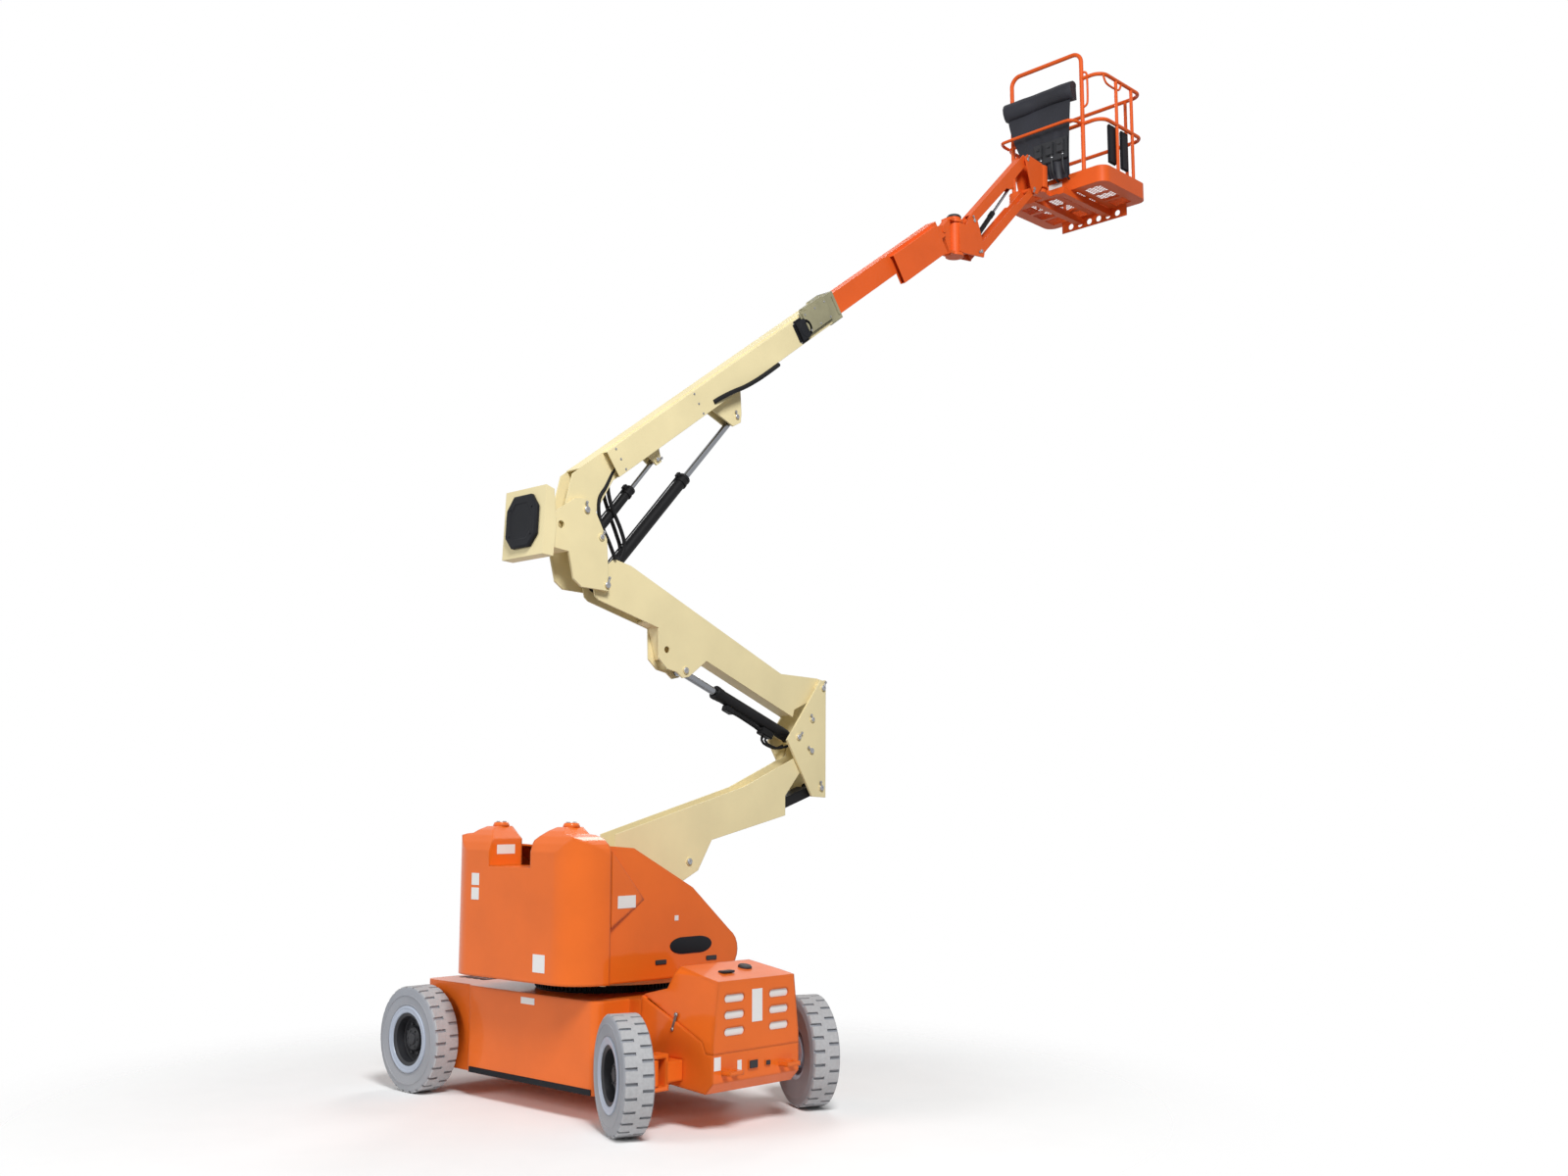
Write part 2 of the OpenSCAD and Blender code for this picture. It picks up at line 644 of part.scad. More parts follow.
module main_boom() {
    color(cream) main_frame() difference() {
        union() {
            block(main_w, 120, main_len, tube_bottom, tube_top);
            block(main_w + 12, main_len - 20, main_len + collar_len, tube_bottom - 6, tube_top + 6);
            slabs([[-85, -40], [-30, -75], [50, -70], [330, tube_bottom + 4], [330, tube_top - 4], [60,
                tube_top - 4],
                [-110, 90]], cheek_out - plate_t, cheek_out);
            bar([0, 0], pin_r + 14, -upright_in + 1, upright_in - 1);
            slabs([[rod_lug[0] - 190, tube_bottom + 1], [rod_lug[0] - 70, rod_lug[1] - 40],
                [rod_lug[0] + 10, rod_lug[1] - 50], [rod_lug[0] + 55, rod_lug[1]],
                [rod_lug[0] + 150, tube_bottom + 1]], lug_out - lug_t, lug_out);
            slabs([[level_lug[0] - 60, tube_bottom + 1], [level_lug[0] - 25, level_lug[1] - 30],
                [level_lug[0] + 25, level_lug[1] - 30], [level_lug[0] + 60, tube_bottom + 1]],
                    lug_out - lug_t, lug_out);
            for (p = [rod_lug, level_lug]) bars(p, 18, lug_out - lug_t - 2, lug_out + 6);
        }
        block(main_w - 2 * main_wall, 100, main_len, tube_bottom + main_wall, tube_top - main_wall);
        // The collar's wear pads close in on the fly boom
        block(fly_w + 2 * seat, main_len - 1, main_len + collar_len + 10, main_axis - fly_d / 2 - seat,
            main_axis + fly_d / 2 + seat);
        bar([0, 0], pin_r + run, -upright_in - 2, upright_in + 2);
    }
}

tray_t = 4;
tray_w = 45;
module hose_tray() {
    color(cream) main_frame() difference() {
        translate([main_w / 2, 345, tube_bottom + 6]) cube([tray_w, main_len - 380, main_d - 12]);
        translate([main_w / 2 + tray_t, 340, tube_bottom + 6 + tray_t])
            cube([tray_w - 2 * tray_t, main_len, main_d - 12 - 2 * tray_t]);
    }
}

K_local = [fly_tip + 60, main_axis - 20];
K_pin = from_main(K_local);
knuckle_half = 30;
side_box_w = 45;

module fly_boom() {
    z0 = main_axis - fly_d / 2;
    color(orange) main_frame() difference() {
        union() {
            block(fly_w, fly_rear, fly_tip, z0, z0 + fly_d);
            slabs([[fly_tip - 120, z0 + 10], [K_local[0], K_local[1] - 45], [K_local[0] + 40, K_local[1]],
                [K_local[0], K_local[1] + 45], [fly_tip - 120, z0 + fly_d - 10]], knuckle_half + 6,
                    fly_w / 2);
            translate([fly_w / 2 - 1, fly_tip - 730, main_axis - 170]) cube([side_box_w, 664, 230]);
        }
        block(fly_w - 2 * fly_wall, fly_rear - 10, fly_tip + 10, z0 + fly_wall, z0 + fly_d - fly_wall);
        translate([fly_w / 2 + 3, fly_tip - 760, main_axis - 166]) cube([side_box_w - 8, 688, 222]);
        bar(K_local, 20 + run, -fly_w, fly_w);
    }
}

post_z0 = J_low[1] - 75;
post_z1 = J_up[1] - 70;
swing_r = 30;
ear_t = 25;

module jib_knuckle() {
    color(orange) difference() {
        union() {
            bar(K_pin, 20, -fly_w / 2 - 6, fly_w / 2 + 6);
            slab([K_pin + [-38, -16], K_pin + [15, -45], K_pin + [46, -60], [swing_y - 90, post_z0 - 40],
                [swing_y - 90,
                post_z1 + 40],
                K_pin + [15, 46], K_pin + [-24, 20]], -knuckle_half, knuckle_half);
            for (z = [post_z0 - 5 - ear_t, post_z1 + 5]) {
                translate([0, swing_y, z]) cylinder(r = 75, h = ear_t);
                block(100, swing_y - 104, swing_y, z, z + ear_t);
            }
            translate([0, swing_y, post_z1 + 5]) cylinder(r = 55, h = ear_t + 30);
            translate([0, swing_y, post_z0 - 30]) cylinder(r = swing_r, h = post_z1 - post_z0 + 60);
        }
    }
}

post_in = 60;
post_t = 12;
jib_pin_r = 18;
jib_base_r = 16;
jib_eye_half = 17;
arm_out = 38;
arm_t = 8;
module jib_post() {
    color(orange) difference() {
        union() {
            translate([0, swing_y, post_z0]) cylinder(r = 62, h = post_z1 - post_z0);
            slabs([[swing_y - 20, post_z0], [swing_y - 20, post_z1], [swing_y + 70, post_z1],
                J_up + [-40, 40],
                J_up + [30, 40], J_low + [45, 20], J_low + [30, -45], [swing_y + 60, post_z0]], post_in,
                    post_in + post_t);
            block(2 * post_in + 2, swing_y + 30, swing_y + 75, post_z0, post_z1);
            bar(J_up, jib_pin_r, -post_in - 1, post_in + 1);
            // The lower pins are stubs, clear of the arm and the cylinder that fold between them
            bars(J_low, jib_pin_r, arm_out + 5, post_in + 1);
            slabs([[swing_y + 60, jib_base[1] - 60], jib_base + [0, -30], jib_base + [26, -14],
                jib_base + [26, 14],
                jib_base + [0, 30], [swing_y + 60, jib_base[1] + 60]], jib_eye_half + 1,
                    arm_out - arm_t - 3);
            bar(jib_base, jib_base_r, -jib_eye_half - 2, jib_eye_half + 2);
        }
        translate([0, swing_y, post_z0 - 1]) cylinder(r = swing_r + run, h = post_z1 - post_z0 + 2);
    }
}

arm_len = norm(J_run);
arm_a = atan2(J_run[1], J_run[0]);
function in_arm(p) = let (v = p - J_up) [v[0] * cos(arm_a) + v[1] * sin(arm_a), v[1] * cos(arm_a)
    - v[0] * sin(arm_a)];

module jib_arm_upper() {
    lug = in_arm(jib_pin);
    color(orange) difference() {
        union() {
            along(J_up, P_up) {
                slabs([[-35, -20], [-20, -38], [lug[0] - 90, -45], [lug[0], lug[1] - 28], [lug[0] + 60,
                    -45],
                    [arm_len + 20, -38], [arm_len + 35, -20], [arm_len + 35, 20], [arm_len + 20, 45],
                        [-20, 45],
                    [-35, 20]], arm_out - arm_t, arm_out);
                block(2 * arm_out, 40, arm_len - 40, 39, 45);
                bars(lug, 16, arm_out - arm_t - 4, arm_out + 4);
            }
            for (p = [J_up, P_up]) bar(p, 30, -arm_out, arm_out);
        }
        for (p = [J_up, P_up]) bar(p, jib_pin_r + run, -arm_out - 2, arm_out + 2);
    }
}

link_in = arm_out + 6;
link_out = link_in + 10;
link_half = 38;
link_slim = 20;
module jib_arm_lower() {
    color(orange) difference() {
        along(J_low, P_low) {
            slabs([[-34, -16], [-18, -link_half], [arm_len + 18, -link_half], [arm_len + 34, -16],
                [arm_len + 34, 16], [arm_len + 26, link_slim], [arm_len - 310, link_slim],
                    [arm_len - 350, link_half],
                [-18, link_half], [-34, 16]], link_in, link_out);
            // Tie between the two bars, clear of the cylinder
            block(2 * link_in + 8, arm_len - 150, arm_len - 120, -24, -12);
        }
        for (p = [J_low, P_low]) bar(p, jib_pin_r + run, -link_out - 6, link_out + 6);
    }
}

spin_z0 = floor_z - 10;
spin_z1 = floor_z + 190;
hub_r = 34;
module platform_support() {
    color(orange) difference() {
        union() {
            slabs([P_up + [-35, 10], P_up + [0, 45], P_up + [60, 40], [spin_y - 55, spin_z1],
                [spin_y - 55, spin_z0],
                P_low + [40, -40], P_low + [-20, -40], P_low + [-40, 0]], post_in, post_in + post_t);
            for (p = [P_up, P_low]) bar(p, jib_pin_r, -post_in - 1, post_in + 1);
            block(2 * post_in + 2, spin_y - 90, spin_y - 45, spin_z0, spin_z1);
            translate([0, spin_y, spin_z0]) cylinder(r = 72, h = spin_z1 - spin_z0);
        }
        translate([0, spin_y, spin_z0 - 1]) cylinder(r = hub_r + run, h = spin_z1 - spin_z0 + 2);
    }
}

// Platform
toe_t = 6;
plat_r = 90;
beam_h = 60;
hub_h = 30;
hub_z = spin_z0 - hub_h - 12;

module platform_floor() {
    color(orange) {
        difference() {
            translate([0, 0, floor_z]) linear_extrude(toe_h) rounded(px0, px1, py0, py1, plat_r);
            translate([0, 0, floor_z + toe_t]) linear_extrude(toe_h)
                rounded(px0 + toe_t, px1 - toe_t, py0 + toe_t, py1 - toe_t, plat_r - toe_t);
            // Openings of the see-through floor
            for (i = [0 : 3], j = [0 : 2]) translate([px0 + 110 + i * (plat_x - 160) / 4,
                py0 + 90 + j * (plat_y - 140) / 3,
                floor_z - 1]) cube([(plat_x - 160) / 4 - 60, (plat_y - 140) / 3 - 40, toe_t + 2]);
        }
        // Beams under the floor and the hub that turns on the support
        for (s = [-1, 1]) translate([s * 150 - 30, spin_y + 105, floor_z - beam_h]) cube([60,
            plat_y + 55, beam_h + 1]);
        translate([-180, spin_y + 105, hub_z]) cube([360, 45, hub_h]);
        translate([-40, spin_y, hub_z]) cube([80, 110, hub_h]);
        translate([0, spin_y, hub_z]) cylinder(r = 60, h = hub_h);
        translate([0, spin_y, hub_z]) cylinder(r = hub_r, h = spin_z1 - hub_z + 15);
        // Plate with six holes along the far side
        difference() {
            translate([-345, py1 - 60, floor_z - 95]) cube([690, 10, 96]);
            for (k = [0 : 5]) translate([-250 + k * 100, py1 - 55, floor_z - 50]) rotate([90, 0, 0])
                cylinder(r = 28, h = 40, center = true);
        }
    }
}

rail_r = rail_d / 2;
post_r = rail_r - 2;
module tube(p, q, r) {
    v = q - p;
    translate(p) rotate([0, atan2(norm([v[0], v[1]]), v[2]), atan2(v[1], v[0])])
        cylinder(r = r, h = norm(v), $fn = 20);
}

// One rail loop at height z with rounded corners, open between the raised rail's posts where asked
bend = 100;
bow_r = rail_r + 2;
bow_x0 = px0 + 90;
bow_x1 = px1 - 220;
bow_bend = 90;
mid_h = 0.58 * rail_h;
module loop(z, open) {
    x0 = px0 + rail_r;
    x1 = px1 - rail_r;
    y0 = py0 + rail_r;
    y1 = py1 - rail_r;
    tube([x0 + bend, y1, z], [x1 - bend, y1, z], rail_r);
    tube([x0 + bend, y0, z], [open ? bow_x0 : x1 - bend, y0, z], rail_r);
    if (open) tube([bow_x1, y0, z], [x1 - bend, y0, z], rail_r);
    for (x = [x0, x1]) tube([x, y0 + bend, z], [x, y1 - bend, z], rail_r);
    for (c = [[x0 + bend, y0 + bend, 180], [x1 - bend, y0 + bend, 270], [x1 - bend, y1 - bend, 0],
        [x0 + bend, y1 - bend, 90]])
        translate([c[0], c[1], z]) rotate(c[2]) rotate_extrude(angle = 90) translate([bend, 0])
            circle(r = rail_r, $fn = 20);
}

// Raised rail over the console
module bow() {
    y = py0 + rail_r;
    z = floor_z + bow_h;
    for (x = [bow_x0, bow_x1]) tube([x, y, floor_z + toe_h + seat], [x, y, z - bow_bend], bow_r);
    tube([bow_x0 + bow_bend, y, z], [bow_x1 - bow_bend, y, z], bow_r);
    for (s = [0, 1]) translate([s > 0 ? bow_x0 + bow_bend : bow_x1 - bow_bend, y, z - bow_bend])
        rotate([90, 0, 0])
        rotate(s * 90) rotate_extrude(angle = 90) translate([bow_bend, 0]) circle(r = bow_r, $fn = 20);
}

module platform_rails() {
    a = rail_r;
    foot = floor_z + toe_h + seat;
    color(orange) {
        loop(floor_z + rail_h, true);
        loop(floor_z + mid_h, false);
        bow();
        for (x = [px0 + 190, px1 - 190]) tube([x, py1 - a, foot], [x, py1 - a, floor_z + rail_h], post_r);
        for (x = [px0 + a, px1 - a], y = [py0 + 250, py1 - 200]) tube([x, y, foot], [x, y,
            floor_z + rail_h], post_r);
    }
}

console_y = py0 + rail_r - bow_r - seat;
module console() {
    color(dark) slab([[py0 - 70, floor_z + 240], [console_y, floor_z + 200], [console_y,
        floor_z + rail_h - 50],
        [py0 - 60, floor_z + rail_h - 30], [py0 - 120, floor_z + rail_h - 160]], bow_x0 - 20, bow_x1 - 40);
}

// Cylinders: a barrel from its pin and a rod that slides in it
barrel_wall = 7;
gland = 60;
module barrel(p, q, r, rod_r, len, pin, eye_half) {
    eye = pin + 12;
    start = eye + 6;
    color(dark) difference() {
        union() {
            along(p, q) rotate([-90, 0, 0]) {
                cylinder(r = eye_half - 2, h = start + 1);
                translate([0, 0, start]) cylinder(r = r, h = len - start);
                translate([0, 0, len - gland]) cylinder(r = r + 3, h = gland);
            }
            bar(p, eye, -eye_half, eye_half);
        }
        along(p, q) rotate([-90, 0, 0]) {
            translate([0, 0, start + 26]) cylinder(r = r - barrel_wall, h = len - start - gland);
            translate([0, 0, len - gland]) cylinder(r = rod_r + 0.3, h = 2 * gland);
        }
        bar(p, pin + run, -eye_half - 2, eye_half + 2);
    }
}

module rod(p, q, rod_r, len, eye_r, eye_half) {
    color(steel) {
        along(q, p) rotate([-90, 0, 0]) cylinder(r = rod_r, h = len);
        bar(q, eye_r, -eye_half, eye_half);
    }
}

module lower_barrel() { barrel(low_base, low_pin, 45, 28, 770, pin_r, 40); }
module lower_rod() { rod(low_base, low_pin, 28, 700, 36, 30); }
module tower_barrel() { barrel(M_cyl, tower_pin, 42, 26, 760, pin_r, 38); }
module tower_rod() { rod(M_cyl, tower_pin, 26, 740, 34, 30); }
module main_barrel() { barrel(U_bot, main_pin, 38, 22, 1080, pin_r, 40); }
module main_rod() { rod(U_bot, main_pin, 22, 1340, 28, 24); }
module level_barrel() { barrel(U_small, level_pin, 29, 15, 480, pin_r, 26); }
module level_rod() { rod(U_small, level_pin, 15, 560, 18, 21); }
module jib_barrel() { barrel(jib_base, jib_pin, 21, 12, 460, jib_base_r, jib_eye_half); }
module jib_rod() { rod(jib_base, jib_pin, 12, 520, 16, 21); }

chassis_body();
end_tray();
end_cover();
power_block();
steer_axle();
drive_axle();
knuckle_left();
knuckle_right();
tyre_front_left();
tyre_front_right();
tyre_rear_left();
tyre_rear_right();
rim_front_left();
rim_front_right();
rim_rear_left();
rim_rear_right();
slew_ring();
turntable_frame();
counterweight();
tail_hood();
hood_right();
hood_left();
lower_boom();
lower_link();
mid_upright();
tower_boom();
upper_upright();
main_boom();
hose_tray();
fly_boom();
jib_knuckle();
jib_post();
jib_arm_upper();
jib_arm_lower();
platform_support();
platform_floor();
platform_rails();
console();
lower_barrel();
lower_rod();
tower_barrel();
tower_rod();
main_barrel();
main_rod();
level_barrel();
level_rod();
jib_barrel();
jib_rod();
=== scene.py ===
import json
import math
import bmesh
import bpy
from mathutils import Matrix, Vector


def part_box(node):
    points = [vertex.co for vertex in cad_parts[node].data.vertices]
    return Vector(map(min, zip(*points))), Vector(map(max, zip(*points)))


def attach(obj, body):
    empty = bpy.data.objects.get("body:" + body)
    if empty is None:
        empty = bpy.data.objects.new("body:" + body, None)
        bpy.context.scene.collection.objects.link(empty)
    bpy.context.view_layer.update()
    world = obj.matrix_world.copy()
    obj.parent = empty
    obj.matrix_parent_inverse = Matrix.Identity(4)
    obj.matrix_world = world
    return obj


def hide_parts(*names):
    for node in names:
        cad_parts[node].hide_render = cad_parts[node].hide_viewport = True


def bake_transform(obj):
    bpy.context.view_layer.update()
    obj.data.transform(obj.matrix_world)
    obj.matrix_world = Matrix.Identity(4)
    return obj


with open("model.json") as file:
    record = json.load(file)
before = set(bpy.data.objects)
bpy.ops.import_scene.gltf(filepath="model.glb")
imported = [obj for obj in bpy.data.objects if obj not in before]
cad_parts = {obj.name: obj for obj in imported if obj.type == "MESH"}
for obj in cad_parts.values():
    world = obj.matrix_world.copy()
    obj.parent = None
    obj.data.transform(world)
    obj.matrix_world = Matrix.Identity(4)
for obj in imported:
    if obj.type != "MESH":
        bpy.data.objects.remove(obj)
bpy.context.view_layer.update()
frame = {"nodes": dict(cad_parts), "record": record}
NODES = frame["nodes"]
X, Y, Z = Vector((1, 0, 0)), Vector((0, 1, 0)), Vector((0, 0, 1))
SIDES = (-1, 1)
scene = bpy.context.scene
scene.view_settings.view_transform = "Standard"


# Materials

DUST = (0.45, 0.40, 0.34, 1)
DUST_TOP, DUST_FOOT = 0.75, 0.05
GRAIN_DEPTH = 0.002


def node(tree, kind, values=None, operation=None):
    """A new shader node with its operation and input values set."""
    made = tree.nodes.new("ShaderNode" + kind)
    if operation:
        made.operation = operation
    for key, value in (values or {}).items():
        made.inputs[key].default_value = value
    return made


def material(name, color, rough=0.4, metal=0.0, vary=0.08, grain=40.0, bump=0.1, coat=0.0,
             soft=0.006, dirt=0.0, gloss=0.3):
    """A surface with colour and roughness that vary by noise, fine bump and softly rounded edges."""
    made = bpy.data.materials.new(name)
    made.use_nodes = True
    tree = made.node_tree
    link = tree.links.new
    bsdf = tree.nodes["Principled BSDF"]
    place = node(tree, "TexCoord").outputs["Object"]

    patches = node(tree, "TexNoise", {"Scale": 3.0, "Detail": 6.0})
    link(place, patches.inputs["Vector"])
    ramp = node(tree, "ValToRGB")
    dim, bright = ramp.color_ramp.elements
    dim.color = (*(max(0.0, c * (1 - vary)) for c in color), 1)
    dim.position = 0.3
    bright.color = (*(min(1.0, c * (1 + vary)) for c in color), 1)
    bright.position = 0.7
    link(patches.outputs["Fac"], ramp.inputs["Fac"])
    shade = ramp.outputs["Color"]
    if dirt:
        # Dust that gathers low down and in patches
        height = node(tree, "SeparateXYZ")
        link(place, height.inputs["Vector"])
        near = node(tree, "MapRange", {"From Min": DUST_TOP, "From Max": DUST_FOOT})
        link(height.outputs["Z"], near.inputs["Value"])
        patch = node(tree, "Math", operation="MULTIPLY")
        link(near.outputs["Result"], patch.inputs[0])
        link(patches.outputs["Fac"], patch.inputs[1])
        amount = node(tree, "Math", {1: dirt}, "MULTIPLY")
        link(patch.outputs[0], amount.inputs[0])
        dusty = node(tree, "MixRGB", {"Color2": DUST})
        link(amount.outputs[0], dusty.inputs["Fac"])
        link(shade, dusty.inputs["Color1"])
        shade = dusty.outputs["Color"]
    link(shade, bsdf.inputs["Base Color"])

    fine = node(tree, "TexNoise", {"Scale": grain, "Detail": 4.0})
    link(place, fine.inputs["Vector"])
    span = node(tree, "MapRange", {"To Min": max(0.02, rough - 0.08), "To Max": min(1.0, rough + 0.1)})
    link(fine.outputs["Fac"], span.inputs["Value"])
    link(span.outputs["Result"], bsdf.inputs["Roughness"])
    relief = node(tree, "Bump", {"Strength": bump, "Distance": GRAIN_DEPTH})
    link(fine.outputs["Fac"], relief.inputs["Height"])
    if soft:
        edge = node(tree, "Bevel", {"Radius": soft})
        edge.samples = 4
        link(edge.outputs["Normal"], relief.inputs["Normal"])
    link(relief.outputs["Normal"], bsdf.inputs["Normal"])

    bsdf.inputs["Metallic"].default_value = metal
    bsdf.inputs["Specular IOR Level"].default_value = 0.5 if metal else gloss
    bsdf.inputs["Coat Weight"].default_value = coat
    bsdf.inputs["Coat Roughness"].default_value = 0.08
    return made


ORANGE = material("paint_orange", (0.80, 0.150, 0.014), 0.34, vary=0.05, grain=90, bump=0.02,
                  coat=0.35, soft=0.022, dirt=0.02, gloss=0.12)
RAIL = material("paint_rail", (0.80, 0.120, 0.018), 0.46, vary=0.06, grain=120, bump=0.008,
                soft=0.003, gloss=0.2)
CREAM = material("paint_cream", (0.84, 0.73, 0.43), 0.48, vary=0.05, grain=70, bump=0.010,
                 soft=0.005, gloss=0.2)
DARK = material("paint_dark", (0.007, 0.007, 0.008), 0.50, vary=0.2, grain=90, bump=0.04,
                soft=0.003, gloss=0.14)
IRON = material("cast_weight", (0.05, 0.05, 0.052), 0.7, vary=0.2, grain=160, bump=0.5, soft=0.004)
CHROME = material("rod_chrome", (0.24, 0.25, 0.27), 0.20, metal=1.0, vary=0.03, grain=200, bump=0.02,
                  soft=0.001)
STEEL = material("plated_steel", (0.33, 0.33, 0.34), 0.36, metal=1.0, vary=0.1, grain=200, bump=0.06,
                 soft=0.0008)
TYRE = material("tyre_grey", (0.31, 0.33, 0.37), 0.78, vary=0.1, grain=140, bump=0.35,
                soft=0.004, dirt=0.35)
RIM = material("rim_blue_grey", (0.40, 0.45, 0.54), 0.42, vary=0.08, grain=80, bump=0.08,
               coat=0.1, soft=0.003)
HUB = material("hub_black", (0.025, 0.026, 0.03), 0.5, vary=0.2, grain=80, bump=0.15, soft=0.002)
RUBBER = material("hose_rubber", (0.008, 0.008, 0.009), 0.6, vary=0.2, grain=260, bump=0.12,
                  soft=0.0, gloss=0.15)
CLOTH = material("cover_cloth", (0.016, 0.017, 0.024), 0.50, vary=0.25, grain=420, bump=0.15, soft=0.0)
LABEL = material("label_white", (0.80, 0.80, 0.79), 0.45, vary=0.03, grain=60, bump=0.02, soft=0.0)
OLIVE = material("worn_collar", (0.32, 0.30, 0.19), 0.62, vary=0.3, grain=60, bump=0.25, soft=0.003)
PAD = material("pad_black", (0.010, 0.011, 0.014), 0.6, vary=0.2, grain=180, bump=0.12,
               soft=0.003, gloss=0.15)

SLOTS = {"body_paint": ORANGE, "boom_paint": CREAM, "dark_metal": DARK, "weight_iron": IRON,
         "rod_chrome": CHROME, "console_cover": CLOTH, "tyre_rubber": TYRE, "rim_paint": RIM}
for part in frame["record"]["subparts"]:
    mesh = NODES[part["node"]].data
    mesh.materials.clear()
    mesh.materials.append(SLOTS[part["material_slot"]])
for name in ("fly_boom", "jib_knuckle", "jib_post", "jib_arm_upper", "jib_arm_lower",
             "platform_support", "platform_rails", "platform_floor"):
    NODES[name].data.materials[0] = RAIL
for name in ("knuckle_left", "knuckle_right"):
    NODES[name].data.materials[0] = ORANGE


# Geometry helpers, in metres

def turns(n):
    """The angles of n points round a circle."""
    return [2 * math.pi * k / n for k in range(n)]


class Piece:
    """Collects solids of one material on one body."""

    def __init__(self, name, body, mat, slot=None):
        self.name, self.body, self.mat, self.slot = name, body, mat, slot
        self.bm = bmesh.new()

    def put(self, verts, faces):
        made = [self.bm.verts.new(v) for v in verts]
        for f in faces:
            self.bm.faces.new([made[i] for i in f])
        return self

    def loft(self, rows, cap=True):
        """A skin over closed rows of points, with its ends capped."""
        n, last = len(rows[0]), len(rows) - 1
        faces = [(i * n + k, i * n + (k + 1) % n, (i + 1) * n + (k + 1) % n, (i + 1) * n + k)
                 for i in range(last) for k in range(n)]
        if cap:
            faces += [tuple(reversed(range(n))), tuple(last * n + k for k in range(n))]
        return self.put([v for row in rows for v in row], faces)

    def ring(self, p, axis, radii, n=16, cap=True):
        """A lathe of (distance along axis, radius) pairs from p."""
        a = Vector(axis).normalized()
        u = a.orthogonal().normalized()
        w = a.cross(u)
        rows = [[Vector(p) + a * d + (u * math.cos(t) + w * math.sin(t)) * r for t in turns(n)]
                for d, r in radii]
        return self.loft(rows, cap)

    def bolt(self, p, axis, r, h):
        """A hexagon head on a washer."""
        self.ring(p, axis, [(0, r * 1.35), (h * 0.25, r * 1.35), (h * 0.3, r * 1.25)], 20)
        seat = Vector(p) + Vector(axis).normalized() * h * 0.3
        return self.ring(seat, axis, [(0, r), (h * 0.6, r), (h * 0.7, r * 0.82)], 6)

    def box(self, centre, size, turn=None, chamfer=0.0):
        """A block with chamfered edges, turned by a 3x3 matrix."""
        width = min(chamfer, *(s * 0.45 for s in size))
        block = bmesh.new()
        bmesh.ops.create_cube(block, size=1.0)
        for v in block.verts:
            v.co = Vector([c * s for c, s in zip(v.co, size)])
        if width > 0:
            bmesh.ops.bevel(block, geom=list(block.edges), offset=width, segments=2, affect="EDGES")
        turn = turn or Matrix.Identity(3)
        block.verts.index_update()
        self.put([turn @ v.co + Vector(centre) for v in block.verts],
                 [[v.index for v in f.verts] for f in block.faces])
        block.free()
        return self

    def tube(self, pts, r, n=10):
        """A round tube along points, with its ends capped."""
        pts = [Vector(p) for p in pts]
        rows = []
        up = None
        for i, p in enumerate(pts):
            a = (pts[min(i + 1, len(pts) - 1)] - pts[max(i - 1, 0)]).normalized()
            if up is None:
                up = a.orthogonal().normalized()
            up = (up - a * up.dot(a)).normalized()
            w = a.cross(up)
            rows.append([p + (up * math.cos(t) + w * math.sin(t)) * r for t in turns(n)])
        return self.loft(rows)

    def done(self, smooth=30):
        """The finished object, riding on its body, with edges sharper than smooth degrees kept."""
        bmesh.ops.recalc_face_normals(self.bm, faces=list(self.bm.faces))
        mesh = bpy.data.meshes.new(self.name)
        self.bm.to_mesh(mesh)
        self.bm.free()
        obj = bpy.data.objects.new(self.name, mesh)
        scene.collection.objects.link(obj)
        mesh.materials.append(self.mat)
        for poly in mesh.polygons:
            poly.use_smooth = True
        mesh.set_sharp_from_angle(angle=math.radians(smooth))
        if self.body:
            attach(obj, self.body)
        return obj


def curve(points, steps=8):
    """A smooth run through the points."""
    pts = [Vector(p) for p in points]
    out = []
    for i in range(len(pts) - 1):
        p0, p1, p2, p3 = pts[max(i - 1, 0)], pts[i], pts[i + 1], pts[min(i + 2, len(pts) - 1)]
        for k in range(steps):
            t = k / steps
            out.append(0.5 * (2 * p1 + (p2 - p0) * t + (2 * p0 - 5 * p1 + 4 * p2 - p3) * t * t
                              + (3 * p1 - p0 - 3 * p2 + p3) * t ** 3))
    out.append(pts[-1])
    return out


def hose(name, body, r, points):
    """A hose along one smooth run."""
    run = curve(points, max(3, 38 // (len(points) - 1)))
    obj = Piece(name, body, RUBBER).tube(run, r, 12).done(60)
    return obj


# Camera, floor and light

EYE, YAW, PITCH = (7.577, -6.269, 1.742), 134.08, 7.9
AMBIENT = 0.22
FLOOR_HALF, FLOOR_DROP = 60, 0.001
FADE_FROM, FADE_TO = 1.6, 4.2


def look(eye, yaw, pitch):
    """A camera's matrix from its place and its aim in degrees."""
    y, p = math.radians(yaw), math.radians(pitch)
    f = Vector((math.cos(y) * math.cos(p), math.sin(y) * math.cos(p), math.sin(p)))
    r = f.cross(Z).normalized()
    u = r.cross(f)
    m = Matrix((r, u, -f)).transposed().to_4x4()
    m.translation = Vector(eye)
    return m


cam = bpy.data.objects.new("camera", bpy.data.cameras.new("camera"))
cam.data.sensor_width = 36.0
cam.data.lens = 36.0
cam.data.clip_end = 200.0
cam.matrix_world = look(EYE, YAW, PITCH)
scene.collection.objects.link(cam)
scene.camera = cam

